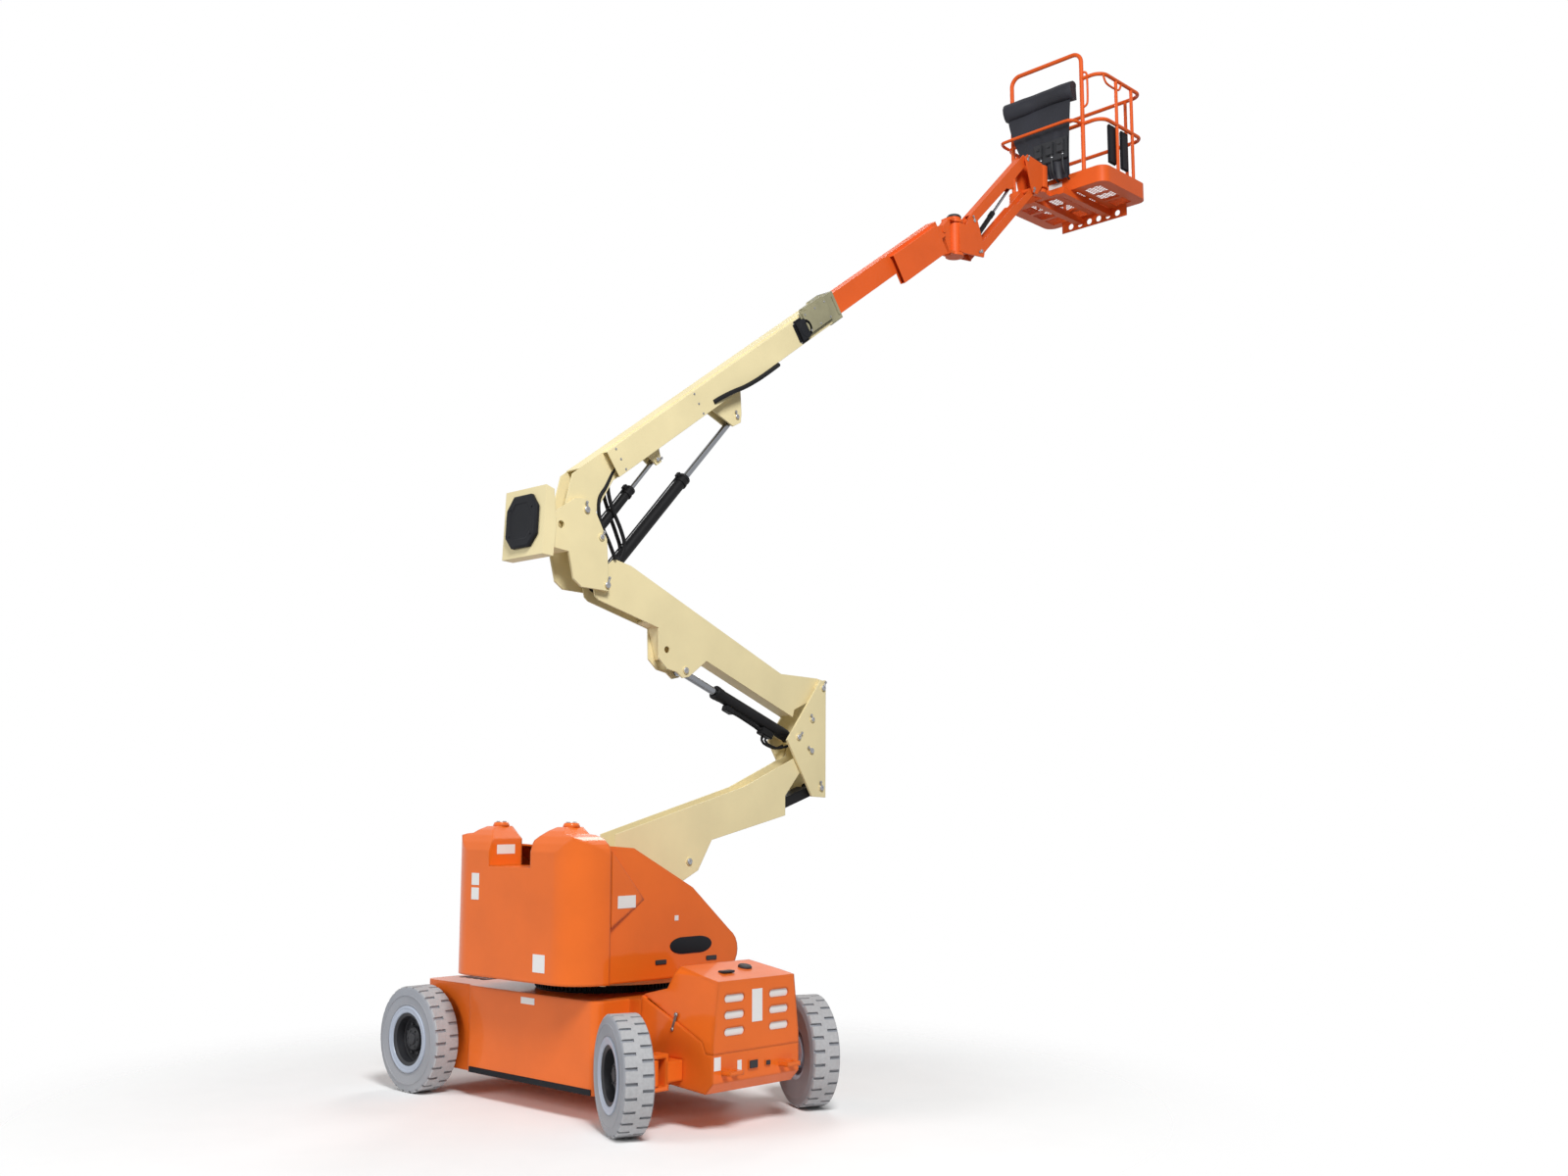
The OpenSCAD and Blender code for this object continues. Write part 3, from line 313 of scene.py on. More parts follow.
# A white world for what the camera and reflections see, a dim one for light on the object
world = bpy.data.worlds.new("studio")
scene.world = world
world.use_nodes = True
tree = world.node_tree
back = tree.nodes["Background"]
back.inputs["Color"].default_value = (1, 1, 1, 1)
rays = node(tree, "LightPath")
seen = node(tree, "Math", operation="MAXIMUM")
tree.links.new(rays.outputs["Is Camera Ray"], seen.inputs[0])
tree.links.new(rays.outputs["Is Glossy Ray"], seen.inputs[1])
white = node(tree, "Math", operation="MAXIMUM")
tree.links.new(seen.outputs[0], white.inputs[0])
tree.links.new(rays.outputs["Is Transmission Ray"], white.inputs[1])
level = node(tree, "MapRange", {"To Min": AMBIENT, "To Max": 1.0})
tree.links.new(white.outputs[0], level.inputs["Value"])
tree.links.new(level.outputs["Result"], back.inputs["Strength"])

# A pale floor that takes the shadow and fades into the white world
floor_mesh = bpy.data.meshes.new("floor")
corners = [(a * FLOOR_HALF, b * FLOOR_HALF, 0) for a, b in ((-1, -1), (1, -1), (1, 1), (-1, 1))]
floor_mesh.from_pydata(corners, [], [(0, 1, 2, 3)])
ground = bpy.data.objects.new("floor", floor_mesh)
ground.location.z = -FLOOR_DROP
scene.collection.objects.link(ground)
pale = material("floor_pale", (0.93, 0.93, 0.93), 0.9, vary=0.01, grain=20, bump=0.0, soft=0.0)
tree = pale.node_tree
away = node(tree, "VectorMath", operation="LENGTH")
tree.links.new(node(tree, "TexCoord").outputs["Object"], away.inputs[0])
fade = node(tree, "MapRange", {"From Min": FADE_FROM, "From Max": FADE_TO})
fade.interpolation_type = "SMOOTHSTEP"
tree.links.new(away.outputs["Value"], fade.inputs["Value"])
mixed = node(tree, "MixShader")
tree.links.new(fade.outputs["Result"], mixed.inputs["Fac"])
tree.links.new(tree.nodes["Principled BSDF"].outputs["BSDF"], mixed.inputs[1])
tree.links.new(node(tree, "BsdfTransparent").outputs["BSDF"], mixed.inputs[2])
tree.links.new(mixed.outputs["Shader"], tree.nodes["Material Output"].inputs["Surface"])
floor_mesh.materials.append(pale)


def lamp(name, place, aim, size, watts):
    """A round area lamp turned to its aim."""
    light = bpy.data.lights.new(name, "AREA")
    light.shape = "DISK"
    light.size = size
    light.energy = watts
    obj = bpy.data.objects.new(name, light)
    obj.location = place
    obj.rotation_euler = (Vector(aim) - Vector(place)).to_track_quat("-Z", "Y").to_euler()
    scene.collection.objects.link(obj)


lamp("key", (9, -5, 11), (0, 1.5, 2.5), 4.0, 1650)
lamp("fill", (-3, -11, 6), (0, 1, 2.5), 5.0, 460)
lamp("rim", (-6, 9, 9), (0, 2, 3), 5.0, 350)


# Pivots of the booms, jib and cylinders as (y, z), and their pins

M_LOW, M_TOP = (1.725, 2.120), (1.848, 2.562)
M_LINK, M_CYL, M_BOT = (1.736, 2.338), (1.597, 2.210), (1.824, 1.864)
U_BOT, U_SMALL, U_TOP = (-0.120, 3.095), (-0.172, 3.390), (-0.292, 3.547)
LOW_FOOT, LOW_PIN, TOWER_PIN = (-0.300, 0.850), (0.605, 1.389), (0.580, 2.611)
MAIN_PIN, LEVEL_PIN = (1.049, 4.386), (0.329, 3.971)
J_UP, J_LOW, P_UP, P_LOW = (3.745, 6.530), (3.835, 6.290), (4.525, 7.300), (4.615, 7.060)
UPRIGHT_X, LOWER_X, TOWER_X, LUG_X, JIB_X = 0.106, 0.083, 0.0615, 0.046, 0.072


def pivot(x, p):
    return Vector((x, p[0], p[1]))


def pins(name, body, x, spots, keep=True):
    """Plated heads on both plates at x, of (pivot, radius, angle of the keeper bar with its bolt)."""
    piece = Piece(name, body, STEEL)
    for p, r, way in spots:
        d = Vector((0, math.cos(way), math.sin(way)))
        turn = Matrix.Rotation(way, 3, "X")
        head = [(0, r), (0.004, r), (0.006, r * 0.86), (0.0062, r * 0.3), (0.004, r * 0.28)]
        for s in SIDES:
            piece.ring(pivot(s * x, p), (s, 0, 0), head, 24)
            if keep:
                bar = pivot(s * (x + 0.003), p) + d * r * 1.5
                piece.box(bar, (0.006, r * 2.2, r * 0.7), turn, 0.001)
                piece.bolt(pivot(s * (x + 0.005), p) + d * r * 2.2, (s, 0, 0), 0.0075, 0.008)
    piece.done()


pins("pins_mid_upright", "mid_upright", UPRIGHT_X,
     [(M_TOP, 0.019, 1.2), (M_LOW, 0.019, 2.6), (M_CYL, 0.017, 0.9), (M_BOT, 0.019, 1.9),
      (M_LINK, 0.015, 2.2)])
pins("pins_upper_upright", "upper_upright", UPRIGHT_X,
     [(U_TOP, 0.020, 1.75), (U_BOT, 0.020, 1.4), (U_SMALL, 0.015, 1.2)])
pins("pins_lower_boom", "lower_boom", LOWER_X, [(LOW_PIN, 0.020, 2.8)], keep=False)
pins("pins_tower_boom", "tower_boom", TOWER_X, [(TOWER_PIN, 0.020, 0.6)], keep=False)
pins("pins_main_boom", "main_boom", LUG_X, [(MAIN_PIN, 0.016, 2.1), (LEVEL_PIN, 0.014, 0.4)])
pins("pins_jib_post", "jib_post", JIB_X, [(J_UP, 0.016, 2.2), (J_LOW, 0.016, 3.6)])
pins("pins_platform_support", "platform_support", JIB_X, [(P_UP, 0.016, 1.2), (P_LOW, 0.016, 4.2)])


# Main boom trim, placed along and across the boom from its pivot

BOOM_ANGLE = math.radians(36)
ALONG = Vector((0, math.cos(BOOM_ANGLE), math.sin(BOOM_ANGLE)))
ACROSS = Vector((0, -math.sin(BOOM_ANGLE), math.cos(BOOM_ANGLE)))
BOOM_TURN = Matrix.Rotation(BOOM_ANGLE, 3, "X")
BOOM_MID = 0.137
COLLAR_D = 2.915


def on_boom(x, d, h):
    return pivot(x, U_TOP) + ALONG * d + ACROSS * h


bolts = Piece("bolts_main_boom", "main_boom", STEEL)
for d in (0.42, 1.24, 2.42):
    for h in (0.065, BOOM_MID, 0.209):
        bolts.bolt(on_boom(0.108, d, h), X, 0.006, 0.006)
for d in (2.88, 2.96):
    for s in SIDES:
        for x in (0.03, -0.03):
            bolts.bolt(on_boom(x, d, BOOM_MID + s * 0.101), ACROSS * s, 0.009, 0.010)
bolts.done()

# Worn end collar: shells over the CAD collar, and its clamp lips
collar = Piece("collar_shell", "main_boom", OLIVE)
for s in SIDES:
    collar.box(on_boom(s * 0.0715, COLLAR_D, BOOM_MID), (0.005, 0.150, 0.206), BOOM_TURN, 0.0015)
    collar.box(on_boom(0, COLLAR_D, BOOM_MID + s * 0.1035), (0.148, 0.150, 0.005), BOOM_TURN, 0.0015)
    for d in (2.865, 2.965):
        collar.box(on_boom(s * 0.076, d, BOOM_MID), (0.006, 0.022, 0.150), BOOM_TURN, 0.002)
collar.done()

# Cover of the hose tray, its bolts and the pad before it
cover = Piece("tray_cover", "main_boom", OLIVE)
cover.box(on_boom(0.116, 2.665, 0.166), (0.040, 0.325, 0.190), BOOM_TURN, 0.016)
cover.box(on_boom(0.096, 2.690, 0.250), (0.070, 0.250, 0.030), BOOM_TURN, 0.010)
cover.done()
pad = Piece("collar_pad", "main_boom", PAD)
pad.box(on_boom(0.112, 2.462, 0.140), (0.042, 0.120, 0.172), BOOM_TURN, 0.018)
pad.ring(on_boom(0.100, 2.500, 0.140), X,
         [(0, 0.070), (0.030, 0.070), (0.036, 0.062), (0.036, 0.040), (0.032, 0.036)], 36)
pad.done()
bolts = Piece("tray_cover_bolts", "main_boom", STEEL)
for d in (2.54, 2.665, 2.79):
    for h in (0.105, 0.225):
        bolts.bolt(on_boom(0.1355, d, h), X, 0.006, 0.006)
bolts.done()

# Octagonal pad on the rear box of the upper upright
OCTAGON = [(-0.085, 0.265), (0.085, 0.265), (0.150, 0.185), (0.150, 0.015),
           (0.085, -0.055), (-0.085, -0.055), (-0.150, 0.015), (-0.150, 0.185)]
OCTAGON_MID = 0.105
REAR_BASE = Vector((0, -0.6985, 3.325))
REAR_UP = Vector((0, 0.020, 0.420)).normalized()
REAR_OUT = Vector((0, -0.420, 0.020)).normalized()
rear = Piece("rear_pad", "upper_upright", PAD)
rear.loft([[REAR_BASE + REAR_OUT * lift + X * a * size
            + REAR_UP * (OCTAGON_MID + (b - OCTAGON_MID) * size) for a, b in OCTAGON]
           for lift, size in ((0.0, 1.0), (0.018, 1.0), (0.026, 0.93), (0.026, 0.70), (0.022, 0.66))])
for b in (0.185, 0.020):
    for a in (0.105, -0.105):
        rear.bolt(REAR_BASE + REAR_OUT * 0.025 + X * a + REAR_UP * b, REAR_OUT, 0.007, 0.006)
rear.done()


# Hoses between main boom and upper upright, and the cable on the main boom's side

HOSES = [
    ("hose_main_a", 0.0125, [(0.035, -0.02, 3.88), (0.035, -0.075, 3.75), (0.035, -0.045, 3.615),
                             (0.035, 0.035, 3.47), (0.03, 0.07, 3.37), (0.028, 0.03, 3.27),
                             (0.02, -0.02, 3.19)]),
    ("hose_main_b", 0.0125, [(-0.03, 0.0, 3.87), (-0.032, -0.06, 3.74), (-0.03, -0.02, 3.60),
                             (-0.032, 0.05, 3.46), (-0.03, 0.085, 3.36), (-0.028, 0.045, 3.26),
                             (-0.02, -0.01, 3.18)]),
    ("hose_main_c", 0.0120, [(0.055, -0.03, 3.88), (0.062, -0.11, 3.73), (0.066, -0.17, 3.63),
                             (0.067, -0.16, 3.50), (0.067, -0.09, 3.38), (0.064, -0.03, 3.27)]),
]
for name, r, points in HOSES:
    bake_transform(hose(name, None, r, points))
hose("cable_main_boom", "main_boom", 0.016,
     [on_boom(*spot) for spot in ((0.106, 1.372, 0.086), (0.120, 1.450, 0.084), (0.1245, 1.560, 0.072),
                                  (0.1250, 1.690, 0.051), (0.1250, 1.830, 0.040), (0.1235, 1.970, 0.037),
                                  (0.108, 2.101, 0.034))])


# Wheels: worn tread, flange ring, black hub, nuts and sidewall rings

STEER = math.radians(24)
AXLE_Z = 0.3175
LUG_FOOT, LUG_TOP = 0.3085, 0.3125
WHEELS = {"front_left": ((0.939, -0.648), (-math.sin(STEER), -math.cos(STEER))),
          "front_right": ((1.061, 0.648), (math.sin(STEER), math.cos(STEER))),
          "rear_left": ((-1.0, -0.661), (0, -1)), "rear_right": ((-1.0, 0.661), (0, 1))}
FLANGE = [(0.0790, 0.158), (0.0850, 0.161), (0.0868, 0.168), (0.0868, 0.184), (0.0895, 0.187),
          (0.0900, 0.194), (0.0870, 0.199), (0.0795, 0.200)]
DISH = [(0.0800, 0.160), (0.0788, 0.150), (0.0700, 0.1375), (0.0180, 0.1355), (0.0120, 0.130),
        (0.0110, 0.100)]
HUB_CAP = [(0, 0.104), (0.006, 0.106), (0.010, 0.100), (0.010, 0.080), (0.020, 0.074), (0.034, 0.070),
           (0.040, 0.062), (0.040, 0.036), (0.046, 0.034), (0.050, 0.028)]
STUD = [(0, 0.006), (0.006, 0.006), (0.008, 0.004)]
STUD_CIRCLE, NUT_CIRCLE = 0.050, 0.091
INNER_RING = [(0, 0.206), (0.0025, 0.207), (0.003, 0.211), (0.001, 0.213)]
OUTER_RING = [(0, 0.260), (0.0035, 0.262), (0.004, 0.268), (0.001, 0.272)]


def tread(mat, centre, axis):
    """Pale worn tops on the lugs, by distance from the axle."""
    tree = mat.node_tree
    link = tree.links.new
    place = node(tree, "TexCoord").outputs["Object"]
    offset = node(tree, "VectorMath", {1: centre}, "SUBTRACT")
    link(place, offset.inputs[0])
    around = node(tree, "VectorMath", {1: axis}, "CROSS_PRODUCT")
    link(offset.outputs["Vector"], around.inputs[0])
    away = node(tree, "VectorMath", operation="LENGTH")
    link(around.outputs["Vector"], away.inputs[0])
    step = node(tree, "MapRange", {"From Min": LUG_FOOT, "From Max": LUG_TOP})
    link(away.outputs["Value"], step.inputs["Value"])
    worn = node(tree, "TexNoise", {"Scale": 60.0})
    link(place, worn.inputs["Vector"])
    ramp = node(tree, "ValToRGB")
    ramp.color_ramp.elements[0].color = (0.36, 0.365, 0.375, 1)
    ramp.color_ramp.elements[1].color = (0.50, 0.505, 0.52, 1)
    link(worn.outputs["Fac"], ramp.inputs["Fac"])
    base = tree.nodes["Principled BSDF"].inputs["Base Color"]
    mix = node(tree, "MixRGB")
    link(step.outputs["Result"], mix.inputs["Fac"])
    link(base.links[0].from_socket, mix.inputs["Color1"])
    link(ramp.outputs["Color"], mix.inputs["Color2"])
    link(mix.outputs["Color"], base)


for name, (place, way) in WHEELS.items():
    body = "wheel_" + name
    axis = Vector((*way, 0)).normalized()
    centre = Vector((*place, AXLE_Z))
    side = axis.cross(Z)
    own = TYRE.copy()
    own.name = "tyre_" + name
    tread(own, centre, axis)
    NODES["tyre_" + name].data.materials[0] = own
    Piece("flange_" + name, body, RIM).ring(centre, axis, FLANGE, 80, cap=False).done()
    hub = Piece("hub_" + name, body, HUB)
    hub.ring(centre, axis, DISH, 64, cap=False)
    hub.ring(centre + axis * 0.006, axis, HUB_CAP, 40)
    for k in range(6):
        t = math.pi * k / 3
        round_hub = (side * math.cos(t) + Z * math.sin(t)) * STUD_CIRCLE
        hub.ring(centre + axis * 0.045 + round_hub, axis, STUD, 12)
    hub.done()
    nuts = Piece("nuts_" + name, body, HUB)
    for k in range(8):
        t = math.pi * (2 * k + 1) / 8
        round_hub = (side * math.cos(t) + Z * math.sin(t)) * NUT_CIRCLE
        nuts.bolt(centre + axis * 0.015 + round_hub, axis, 0.0105, 0.016)
    nuts.done()
    wall = Piece("wall_rings_" + name, body, TYRE)
    wall.ring(centre + axis * 0.0815, axis, INNER_RING, 80, cap=False)
    wall.ring(centre + axis * 0.0880, axis, OUTER_RING, 80, cap=False)
    wall.done()


# Blank labels and plates, standing just off the panels

TAIL_Y, TRAY_X, COVER_X = -0.7405, 1.3005, 1.3005
LABEL_THICK = 0.0012


def labels(name, body, tags):
    """Blank plates of (centre, outward, width, height)."""
    piece = Piece(name, body, LABEL)
    for centre, out, w, h in tags:
        out = Vector(out).normalized()
        right = Z.cross(out).normalized()
        turn = Matrix((right, out.cross(right), out)).transposed()
        piece.box(Vector(centre) + out * (LABEL_THICK / 2), (w, h, LABEL_THICK), turn, 0.0004)
    piece.done()


labels("labels_turntable", "turntable", [((-0.33, TAIL_Y, 1.225), -Y, 0.075, 0.07),
                                         ((-0.33, TAIL_Y, 1.310), -Y, 0.075, 0.07),
                                         ((0.30, TAIL_Y, 0.86), -Y, 0.11, 0.10),
                                         ((-0.1995, -0.62, 1.485), X, 0.13, 0.055)])
labels("labels_chassis", "chassis", [((-0.02, -0.5705, 0.615), -Y, 0.13, 0.038),
                                     ((TRAY_X, -0.300, 0.372), X, 0.050, 0.070),
                                     ((TRAY_X, -0.135, 0.345), X, 0.032, 0.062)])
labels("labels_hood_right", "hood_right", [((0.6262, -0.375, 1.200), (1, 0.0974, 0), 0.145, 0.070),
                                           ((0.6105, 0.02, 1.09), X, 0.030, 0.030)])
grille = Piece("louvre_backs", "end_cover", LABEL)
for s in SIDES:
    for k in range(3):
        grille.box((1.2915, s * 0.172 + 0.006, 0.530 + 0.088 * k + 0.004), (0.002, 0.158, 0.050),
                   Matrix.Rotation(0.06, 3, "Y"), 0.0005)
grille.done()
labels("label_end_cover", "end_cover", [((COVER_X, 0.0, 0.655), X, 0.080, 0.175)])
labels("label_platform", "platform", [((0.02, 5.0155, 7.215), -Y, 0.14, 0.045)])


# Hoods: bare badge plate, raised facets, catches and caps

HOOD_SIDES = (("hood_right", "", 1), ("hood_left", "_left", -1))
FACET = [(0.609, -0.494, 1.490), (0.609, -0.494, 1.055), (0.609, -0.227, 1.206),
         (0.637, -0.494, 1.484), (0.637, -0.494, 1.061), (0.611, -0.233, 1.206)]
FACET_FACES = [(3, 4, 5), (0, 2, 1), (0, 1, 4, 3), (1, 2, 5, 4), (2, 0, 3, 5)]
BADGE_X, BADGE_Y, BADGE_Z = 0.610, 0.135, 0.93
BADGE_STRAIGHT, BADGE_END, BADGE_HALF = 0.06, 0.105, 0.048
CATCH_X, CATCH_Z = 0.613, 0.845
HUMP_X, HUMP_Y, HUMP_Z = 0.34, -0.556, 1.6195

Piece("badge_plate", "hood_right", PAD).loft(
    [[Vector((BADGE_X + lift,
              BADGE_Y + BADGE_END * size * math.cos(t) + math.copysign(BADGE_STRAIGHT, math.cos(t)),
              BADGE_Z + BADGE_HALF * size * math.sin(t))) for t in turns(40)]
     for lift, size in ((0.0, 1.0), (0.004, 1.0), (0.005, 0.96))]).done()
for body, suffix, s in HOOD_SIDES:
    facet = Piece("hood_facet" + suffix, body, ORANGE)
    facet.put([(s * x, y, z) for x, y, z in FACET], FACET_FACES).done()

# Sleeve over the timing link's bars at the upright
LINK_RUN, LINK_RISE = 2.145, 0.700
link_dir = Vector((0, LINK_RUN, LINK_RISE)).normalized()
Piece("link_sleeve", "lower_link", DARK).box(
    pivot(0, M_BOT) - link_dir * 0.245, (0.126, 0.350, 0.068),
    Matrix.Rotation(math.atan2(LINK_RISE, LINK_RUN), 3, "X"), 0.006).done()

for body, suffix, s in HOOD_SIDES:
    catches = Piece("hood_catches" + suffix, body, HUB)
    for y in (-0.10, 0.30):
        catches.box((s * CATCH_X, y, CATCH_Z), (0.008, 0.085, 0.026), None, 0.003)
    catches.done()
caps = Piece("hump_caps", "turntable", ORANGE)
for s in SIDES:
    caps.ring((s * HUMP_X, HUMP_Y, HUMP_Z), Z,
              [(0, 0.050), (0.006, 0.050), (0.012, 0.046), (0.020, 0.043), (0.024, 0.038)], 32)
caps.done()
bolts = Piece("hump_cap_bolts", "turntable", STEEL)
for s in SIDES:
    for k in range(4):
        t = math.pi * k / 2 + 0.4
        bolts.bolt((s * HUMP_X + 0.028 * math.cos(t), HUMP_Y + 0.028 * math.sin(t), HUMP_Z + 0.023),
                   Z, 0.006, 0.007)
bolts.done()


# Slewing gear under the hoods: teeth and motor

TEETH, TEETH_R = 90, 0.422
gear = Piece("slew_teeth", "chassis", DARK)
for t in turns(TEETH):
    gear.box((TEETH_R * math.cos(t), TEETH_R * math.sin(t), 0.690), (0.016, 0.014, 0.040),
             Matrix.Rotation(t, 3, "Z"), 0.002)
gear.done()
Piece("slew_motor", "turntable", DARK).ring(
    (0.30, 0.40, 0.745), Z,
    [(0, 0.075), (0.02, 0.075), (0.022, 0.060), (0.14, 0.060), (0.15, 0.050)], 28).done()


# Chassis: black foot strips, bolted rear panel with a blank label, grip strips on the deck

REAR_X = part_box("chassis_body")[0].x + 0.072
PANEL_Z = 0.440
BED_R, BED_Z = 0.375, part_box("hood_right")[0].z - 0.005
foot = Piece("foot_strip", "chassis", PAD)
for s in SIDES:
    foot.box((-0.01, s * 0.5715, 0.168), (1.16, 0.004, 0.034), None, 0.001)
foot.done()
Piece("rear_panel", "chassis", ORANGE).box(
    (REAR_X - 0.002, 0, PANEL_Z), (0.008, 0.640, 0.250), None, 0.003).done()
bolts = Piece("rear_panel_bolts", "chassis", STEEL)
for y in (-0.295, 0.0, 0.295):
    for z in (0.340, 0.540):
        bolts.bolt((REAR_X - 0.006, y, z), -X, 0.008, 0.008)
bolts.done()
labels("label_rear", "chassis", [((REAR_X - 0.0062, 0.15, PANEL_Z), -X, 0.16, 0.07)])
grip = Piece("grip_strips", "chassis", PAD)
for k in range(4):
    grip.box((REAR_X + 0.10 + 0.075 * k, 0, 0.6605), (0.040, 0.70, 0.003), None, 0.001)
grip.done()

# Bolts of the turntable's bed
bolts = Piece("bed_bolts", "turntable", STEEL)
for k in range(13):
    t = math.radians(18 + 12 * k)
    bolts.bolt((BED_R * math.cos(t), BED_R * math.sin(t), BED_Z), Z, 0.008, 0.009)
bolts.done()

# End cover: latch and caps, and the lids on the tray below it
latch = Piece("cover_latch", "end_cover", STEEL)
latch.box((0.985, -0.3285, 0.565), (0.020, 0.006, 0.075), Matrix.Rotation(0.35, 3, "Y"), 0.002)
latch.ring((0.998, -0.325, 0.605), -Y, [(0, 0.013), (0.006, 0.013), (0.010, 0.009)], 16)
latch.ring((0.972, -0.328, 0.525), -Y, [(0, 0.011), (0.006, 0.011), (0.010, 0.007)], 16)
latch.done()
filler = Piece("cover_caps", "end_cover", HUB)
filler.ring((1.10, 0.10, 0.832), (0.2, 0, 1), [(0, 0.040), (0.012, 0.040), (0.018, 0.034)], 28)
filler.box((1.16, -0.10, 0.832), (0.05, 0.09, 0.012), None, 0.004)
filler.done()
lids = Piece("charger_lid", "chassis", HUB)
lids.box((1.3105, -0.035, 0.345), (0.006, 0.062, 0.042), None, 0.002)
lids.box((1.3085, 0.080, 0.340), (0.006, 0.032, 0.024), None, 0.002)
lids.done()


# Console: padded roll over the housing, hanging cover, valve gear on the cover's outer side

lo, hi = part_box("console")
CONSOLE_W = hi.x - lo.x
ROLL_STEPS = 28
ROLL_PROFILE = [(0.000, -0.165), (-0.008, -0.060), (-0.004, -0.018), (-0.024, -0.002), (-0.062, 0.000),
                (-0.098, -0.020), (-0.112, -0.056), (-0.106, -0.100), (-0.086, -0.142), (-0.060, -0.168)]
rows = []
for i in range(ROLL_STEPS + 1):
    t = i / ROLL_STEPS
    swell = 1.0 + 0.035 * math.sin(9 * t) + 0.02 * math.sin(23 * t + 1)
    if i in (0, ROLL_STEPS):
        swell *= 0.90
    sag = 0.96 + 0.04 * math.sin(7 * t)
    rows.append([Vector((lo.x + CONSOLE_W * t, hi.y - 0.004 + a * swell, hi.z + b * sag))
                 for a, b in ROLL_PROFILE])
roll = Piece("console_roll", "platform", CLOTH).loft(rows).done(50)
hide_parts("console")

FLAP_ACROSS, FLAP_DOWN = 48, 26
FLAP_DROP, FLAP_THICK = 0.70, 0.004
verts, faces = [], []
for layer in (0, 1):
    for j in range(FLAP_DOWN + 1):
        for i in range(FLAP_ACROSS + 1):
            u, v = i / FLAP_ACROSS, j / FLAP_DOWN
            fold = 0.010 * v * math.sin(15 * u + 2.2 * v) + 0.006 * v * math.sin(37 * u + 5 * v + 1)
            y = hi.y - 0.062 - 0.020 * math.sin(math.pi * v) + fold + FLAP_THICK * layer
            z = hi.z - 0.150 - FLAP_DROP * v + 0.018 * v * math.sin(5 * u + 0.6)
            left = lo.x + 0.03 + 0.40 * CONSOLE_W * v ** 1.4
            right = hi.x - 0.03 - 0.02 * v
            verts.append((left + (right - left) * u + 0.008 * v * math.sin(9 * u), y, z))
row = FLAP_ACROSS + 1
half = row * (FLAP_DOWN + 1)
for j in range(FLAP_DOWN):
    for i in range(FLAP_ACROSS):
        a = j * row + i
        faces.append((a, a + 1, a + row + 1, a + row))
        faces.append((half + a, half + a + row, half + a + row + 1, half + a + 1))
hem = [*range(row), *(j * row + FLAP_ACROSS for j in range(1, FLAP_DOWN + 1)),
       *(FLAP_DOWN * row + i for i in range(FLAP_ACROSS - 1, -1, -1)),
       *(j * row for j in range(FLAP_DOWN - 1, 0, -1))]
for a, b in zip(hem, hem[1:] + hem[:1]):
    faces.append((a, half + a, half + b, b))
flap = Piece("console_cover", "platform", CLOTH, "console_cover").put(verts, faces).done(60)

VALVE_XS = [hi.x - 0.12 - 0.115 * k for k in range(3)]
VALVE_Z = hi.z - 0.58
PIPE_Y = hi.y - 0.098
valves = Piece("console_valves", "platform", HUB)
for x in VALVE_XS:
    pipe_x = x + 0.02
    valves.box((x, PIPE_Y, VALVE_Z), (0.078, 0.036, 0.120), None, 0.006)
    valves.ring((x, hi.y - 0.114, VALVE_Z + 0.02), -Y,
                [(0, 0.018), (0.008, 0.018), (0.009, 0.013), (0.014, 0.013)], 14)
    valves.ring((pipe_x, PIPE_Y, VALVE_Z - 0.060), -Z,
                [(0, 0.012), (0.020, 0.012), (0.022, 0.009), (0.034, 0.009)], 12)
    valves.tube(curve([(pipe_x, PIPE_Y, VALVE_Z - 0.090), (pipe_x, PIPE_Y, VALVE_Z - 0.16),
                       (pipe_x, hi.y - 0.080, VALVE_Z - 0.23), (pipe_x, hi.y - 0.020, VALVE_Z - 0.275),
                       (pipe_x, hi.y + 0.004, VALVE_Z - 0.285)], 6), 0.0085, 10)
valves.box((hi.x - 0.235, hi.y - 0.084, VALVE_Z - 0.02), (0.36, 0.020, 0.20), None, 0.006)
valves.done()
fittings = Piece("console_fittings", "platform", STEEL)
for x in VALVE_XS:
    fittings.ring((x + 0.02, PIPE_Y, VALVE_Z - 0.086), Z, [(0, 0.0115), (0.014, 0.0115)], 6)
fittings.done()


# Platform: mesh on the floor, grab loops, guard tube before the console, pads

FLOOR_Z = 7.135
SIDE_Z, GUARD_Z = FLOOR_Z + 1.0, FLOOR_Z + 0.58
RAIL_X, FRONT_Y = 0.513, 5.033
MESH_LO, MESH_HI, MESH_MID = (-0.500, 5.046), (0.500, 5.686), 5.366
MESH_PITCH, MESH_WIRE = 0.034, 0.0022
SIDE_LOOP = [(5.06, 0), (5.09, -0.06), (5.14, -0.085), (5.28, -0.085), (5.33, -0.06), (5.36, 0)]
FRONT_LOOP = [(0.312, 0.06), (0.355, 0.045), (0.368, -0.01), (0.368, -0.20), (0.355, -0.255),
              (0.312, -0.27)]
LOOP_R, GUARD_R = 0.010, 0.0145
GUARD = [(-0.490, 5.031), (-0.484, 4.950), (-0.455, 4.890), (-0.400, 4.878), (-0.250, 4.877),
         (0.100, 4.877), (0.215, 4.878), (0.270, 4.890), (0.299, 4.950), (0.305, 5.031)]


def clip(a, b, low, high):
    """The part of the segment a-b inside the rectangle, or None."""
    t0, t1 = 0.0, 1.0
    for i in (0, 1):
        d = b[i] - a[i]
        start, end = sorted(((low[i] - a[i]) / d, (high[i] - a[i]) / d))
        t0, t1 = max(t0, start), min(t1, end)
    if t1 - t0 < 1e-4:
        return None
    return [(a[0] + (b[0] - a[0]) * t, a[1] + (b[1] - a[1]) * t) for t in (t0, t1)]


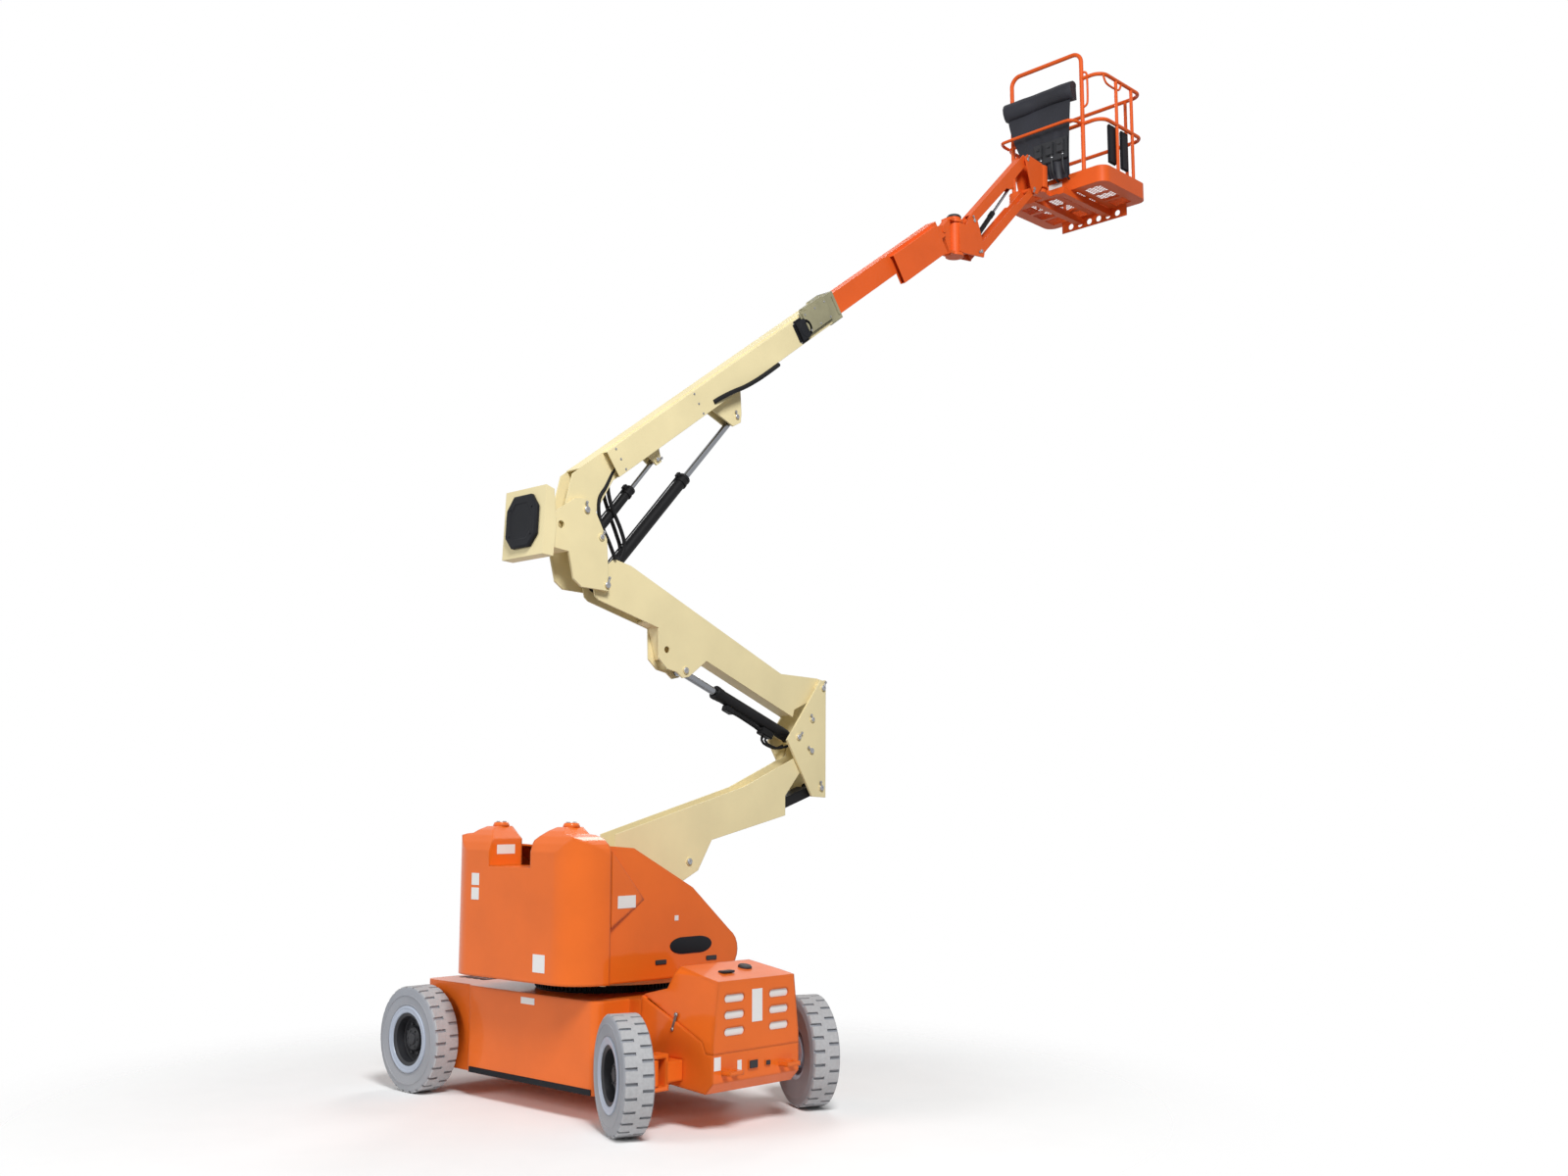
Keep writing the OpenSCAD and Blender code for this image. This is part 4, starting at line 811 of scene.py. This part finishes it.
grid = Piece("floor_mesh", "platform", RAIL)
for slope, lift in ((0.5, 0.0075), (-0.5, 0.0100)):
    for k in range(-60, 60):
        y = MESH_MID + k * MESH_PITCH
        wire = clip((-2.0, y - 2.0 * slope), (2.0, y + 2.0 * slope), MESH_LO, MESH_HI)
        if wire:
            grid.tube([(*end, FLOOR_Z + lift) for end in wire], MESH_WIRE, 6)
grid.done()
grabs = Piece("grab_loops", "platform", RAIL)
for s in (1, -1):
    grabs.tube(curve([(s * RAIL_X, y, SIDE_Z + dz) for y, dz in SIDE_LOOP]), LOOP_R, 10)
grabs.tube(curve([(x, FRONT_Y, SIDE_Z + dz) for x, dz in FRONT_LOOP]), LOOP_R, 10)
grabs.done(60)
guard = curve([(x, y, GUARD_Z) for x, y in GUARD])
Piece("guard_rail", "platform", RAIL).tube(guard, GUARD_R, 12).done(60)
pads = Piece("rail_pads", "platform", PAD)
for y in (5.22, 5.42):
    pads.box((RAIL_X - 0.030, y, FLOOR_Z + 0.39), (0.030, 0.110, 0.36), None, 0.010)
pads.done()

# Caps on the jib's swing pivot and the platform's rotator
Piece("swing_cap", "jib_knuckle", HUB).ring(
    (0, 3.560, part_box("jib_knuckle")[1].z - 0.004), Z,
    [(0, 0.060), (0.010, 0.060), (0.022, 0.050), (0.028, 0.034), (0.030, 0.010)], 32).done()
Piece("spin_cap", "platform_support", HUB).ring(
    (0, 4.796, 7.3245), Z,
    [(0, 0.068), (0.010, 0.068), (0.012, 0.042), (0.012, 0.038)], 32, cap=False).done()


# Cylinders: valve blocks, gland rings, fittings and pipes

def cylinder(p, q):
    """For a cylinder from pivot p towards q: a placer, its axis, its upward normal and its turn."""
    foot = pivot(0, p)
    along = Vector((0, q[0] - p[0], q[1] - p[1])).normalized()
    up = Vector((0, -along.z, along.y))
    if up.z < 0:
        up = -up

    def spot(x, d, h):
        return foot + along * d + up * h + X * x

    return spot, along, up, Matrix((X, along, X.cross(along))).transposed()


spot, along, up, turn = cylinder(M_CYL, TOWER_PIN)
valves = Piece("tower_valves", "tower_barrel", DARK)
valves.box(spot(0, 0.22, -0.062), (0.060, 0.110, 0.050), turn, 0.005)
valves.box(spot(0, 0.60, -0.058), (0.050, 0.080, 0.040), turn, 0.005)
valves.ring(spot(0, 0.735, 0), along, [(0, 0.048), (0.022, 0.048), (0.026, 0.044)], 28)
for x in (-0.018, 0.018):
    valves.ring(spot(x, 0.22, -0.085), -up,
                [(0, 0.010), (0.018, 0.010), (0.019, 0.007), (0.030, 0.007)], 12)
valves.done()
pipes = Piece("tower_pipes", "tower_barrel", RUBBER)
for x in (-0.016, 0.016):
    pipes.tube(curve([spot(x, 0.28, -0.062), spot(x, 0.34, -0.058), spot(x, 0.48, -0.054),
                      spot(x, 0.57, -0.058)]), 0.0075, 10)
    pipes.tube(curve([spot(x, 0.22, -0.112), spot(x, 0.18, -0.128), spot(x, 0.08, -0.115),
                      spot(x * 2.2, 0.0, -0.060)]), 0.0085, 10)
pipes.done(60)


def dress(stem, p, q, length, r):
    """Gland rings, two port blocks and the pipe between them on a barrel of radius r."""
    spot, along, up, turn = cylinder(p, q)
    piece = Piece(stem + "_gland", stem + "_barrel", DARK)
    piece.ring(spot(0, length - 0.066, 0), along,
               [(0, r + 0.004), (0.003, r + 0.007), (0.020, r + 0.007), (0.023, r + 0.004)], 28)
    piece.ring(spot(0, length - 0.022, 0), along,
               [(0, r + 0.004), (0.003, r + 0.006), (0.018, r + 0.006), (0.021, r + 0.003)], 28)
    piece.box(spot(0, length - 0.030, r + 0.012), (0.030, 0.036, 0.024), turn, 0.003)
    piece.box(spot(0, 0.105, r + 0.010), (0.030, 0.040, 0.024), turn, 0.003)
    piece.tube(curve([spot(0, length - 0.050, r + 0.013), spot(0, length - 0.10, r + 0.012),
                      spot(0, length * 0.5, r + 0.011), spot(0, 0.16, r + 0.012),
                      spot(0, 0.12, r + 0.012)], 6), 0.0055, 10)
    piece.done()


dress("lower", LOW_FOOT, LOW_PIN, 0.770, 0.045)
dress("main", U_BOT, MAIN_PIN, 1.080, 0.038)
dress("level", U_SMALL, LEVEL_PIN, 0.480, 0.029)
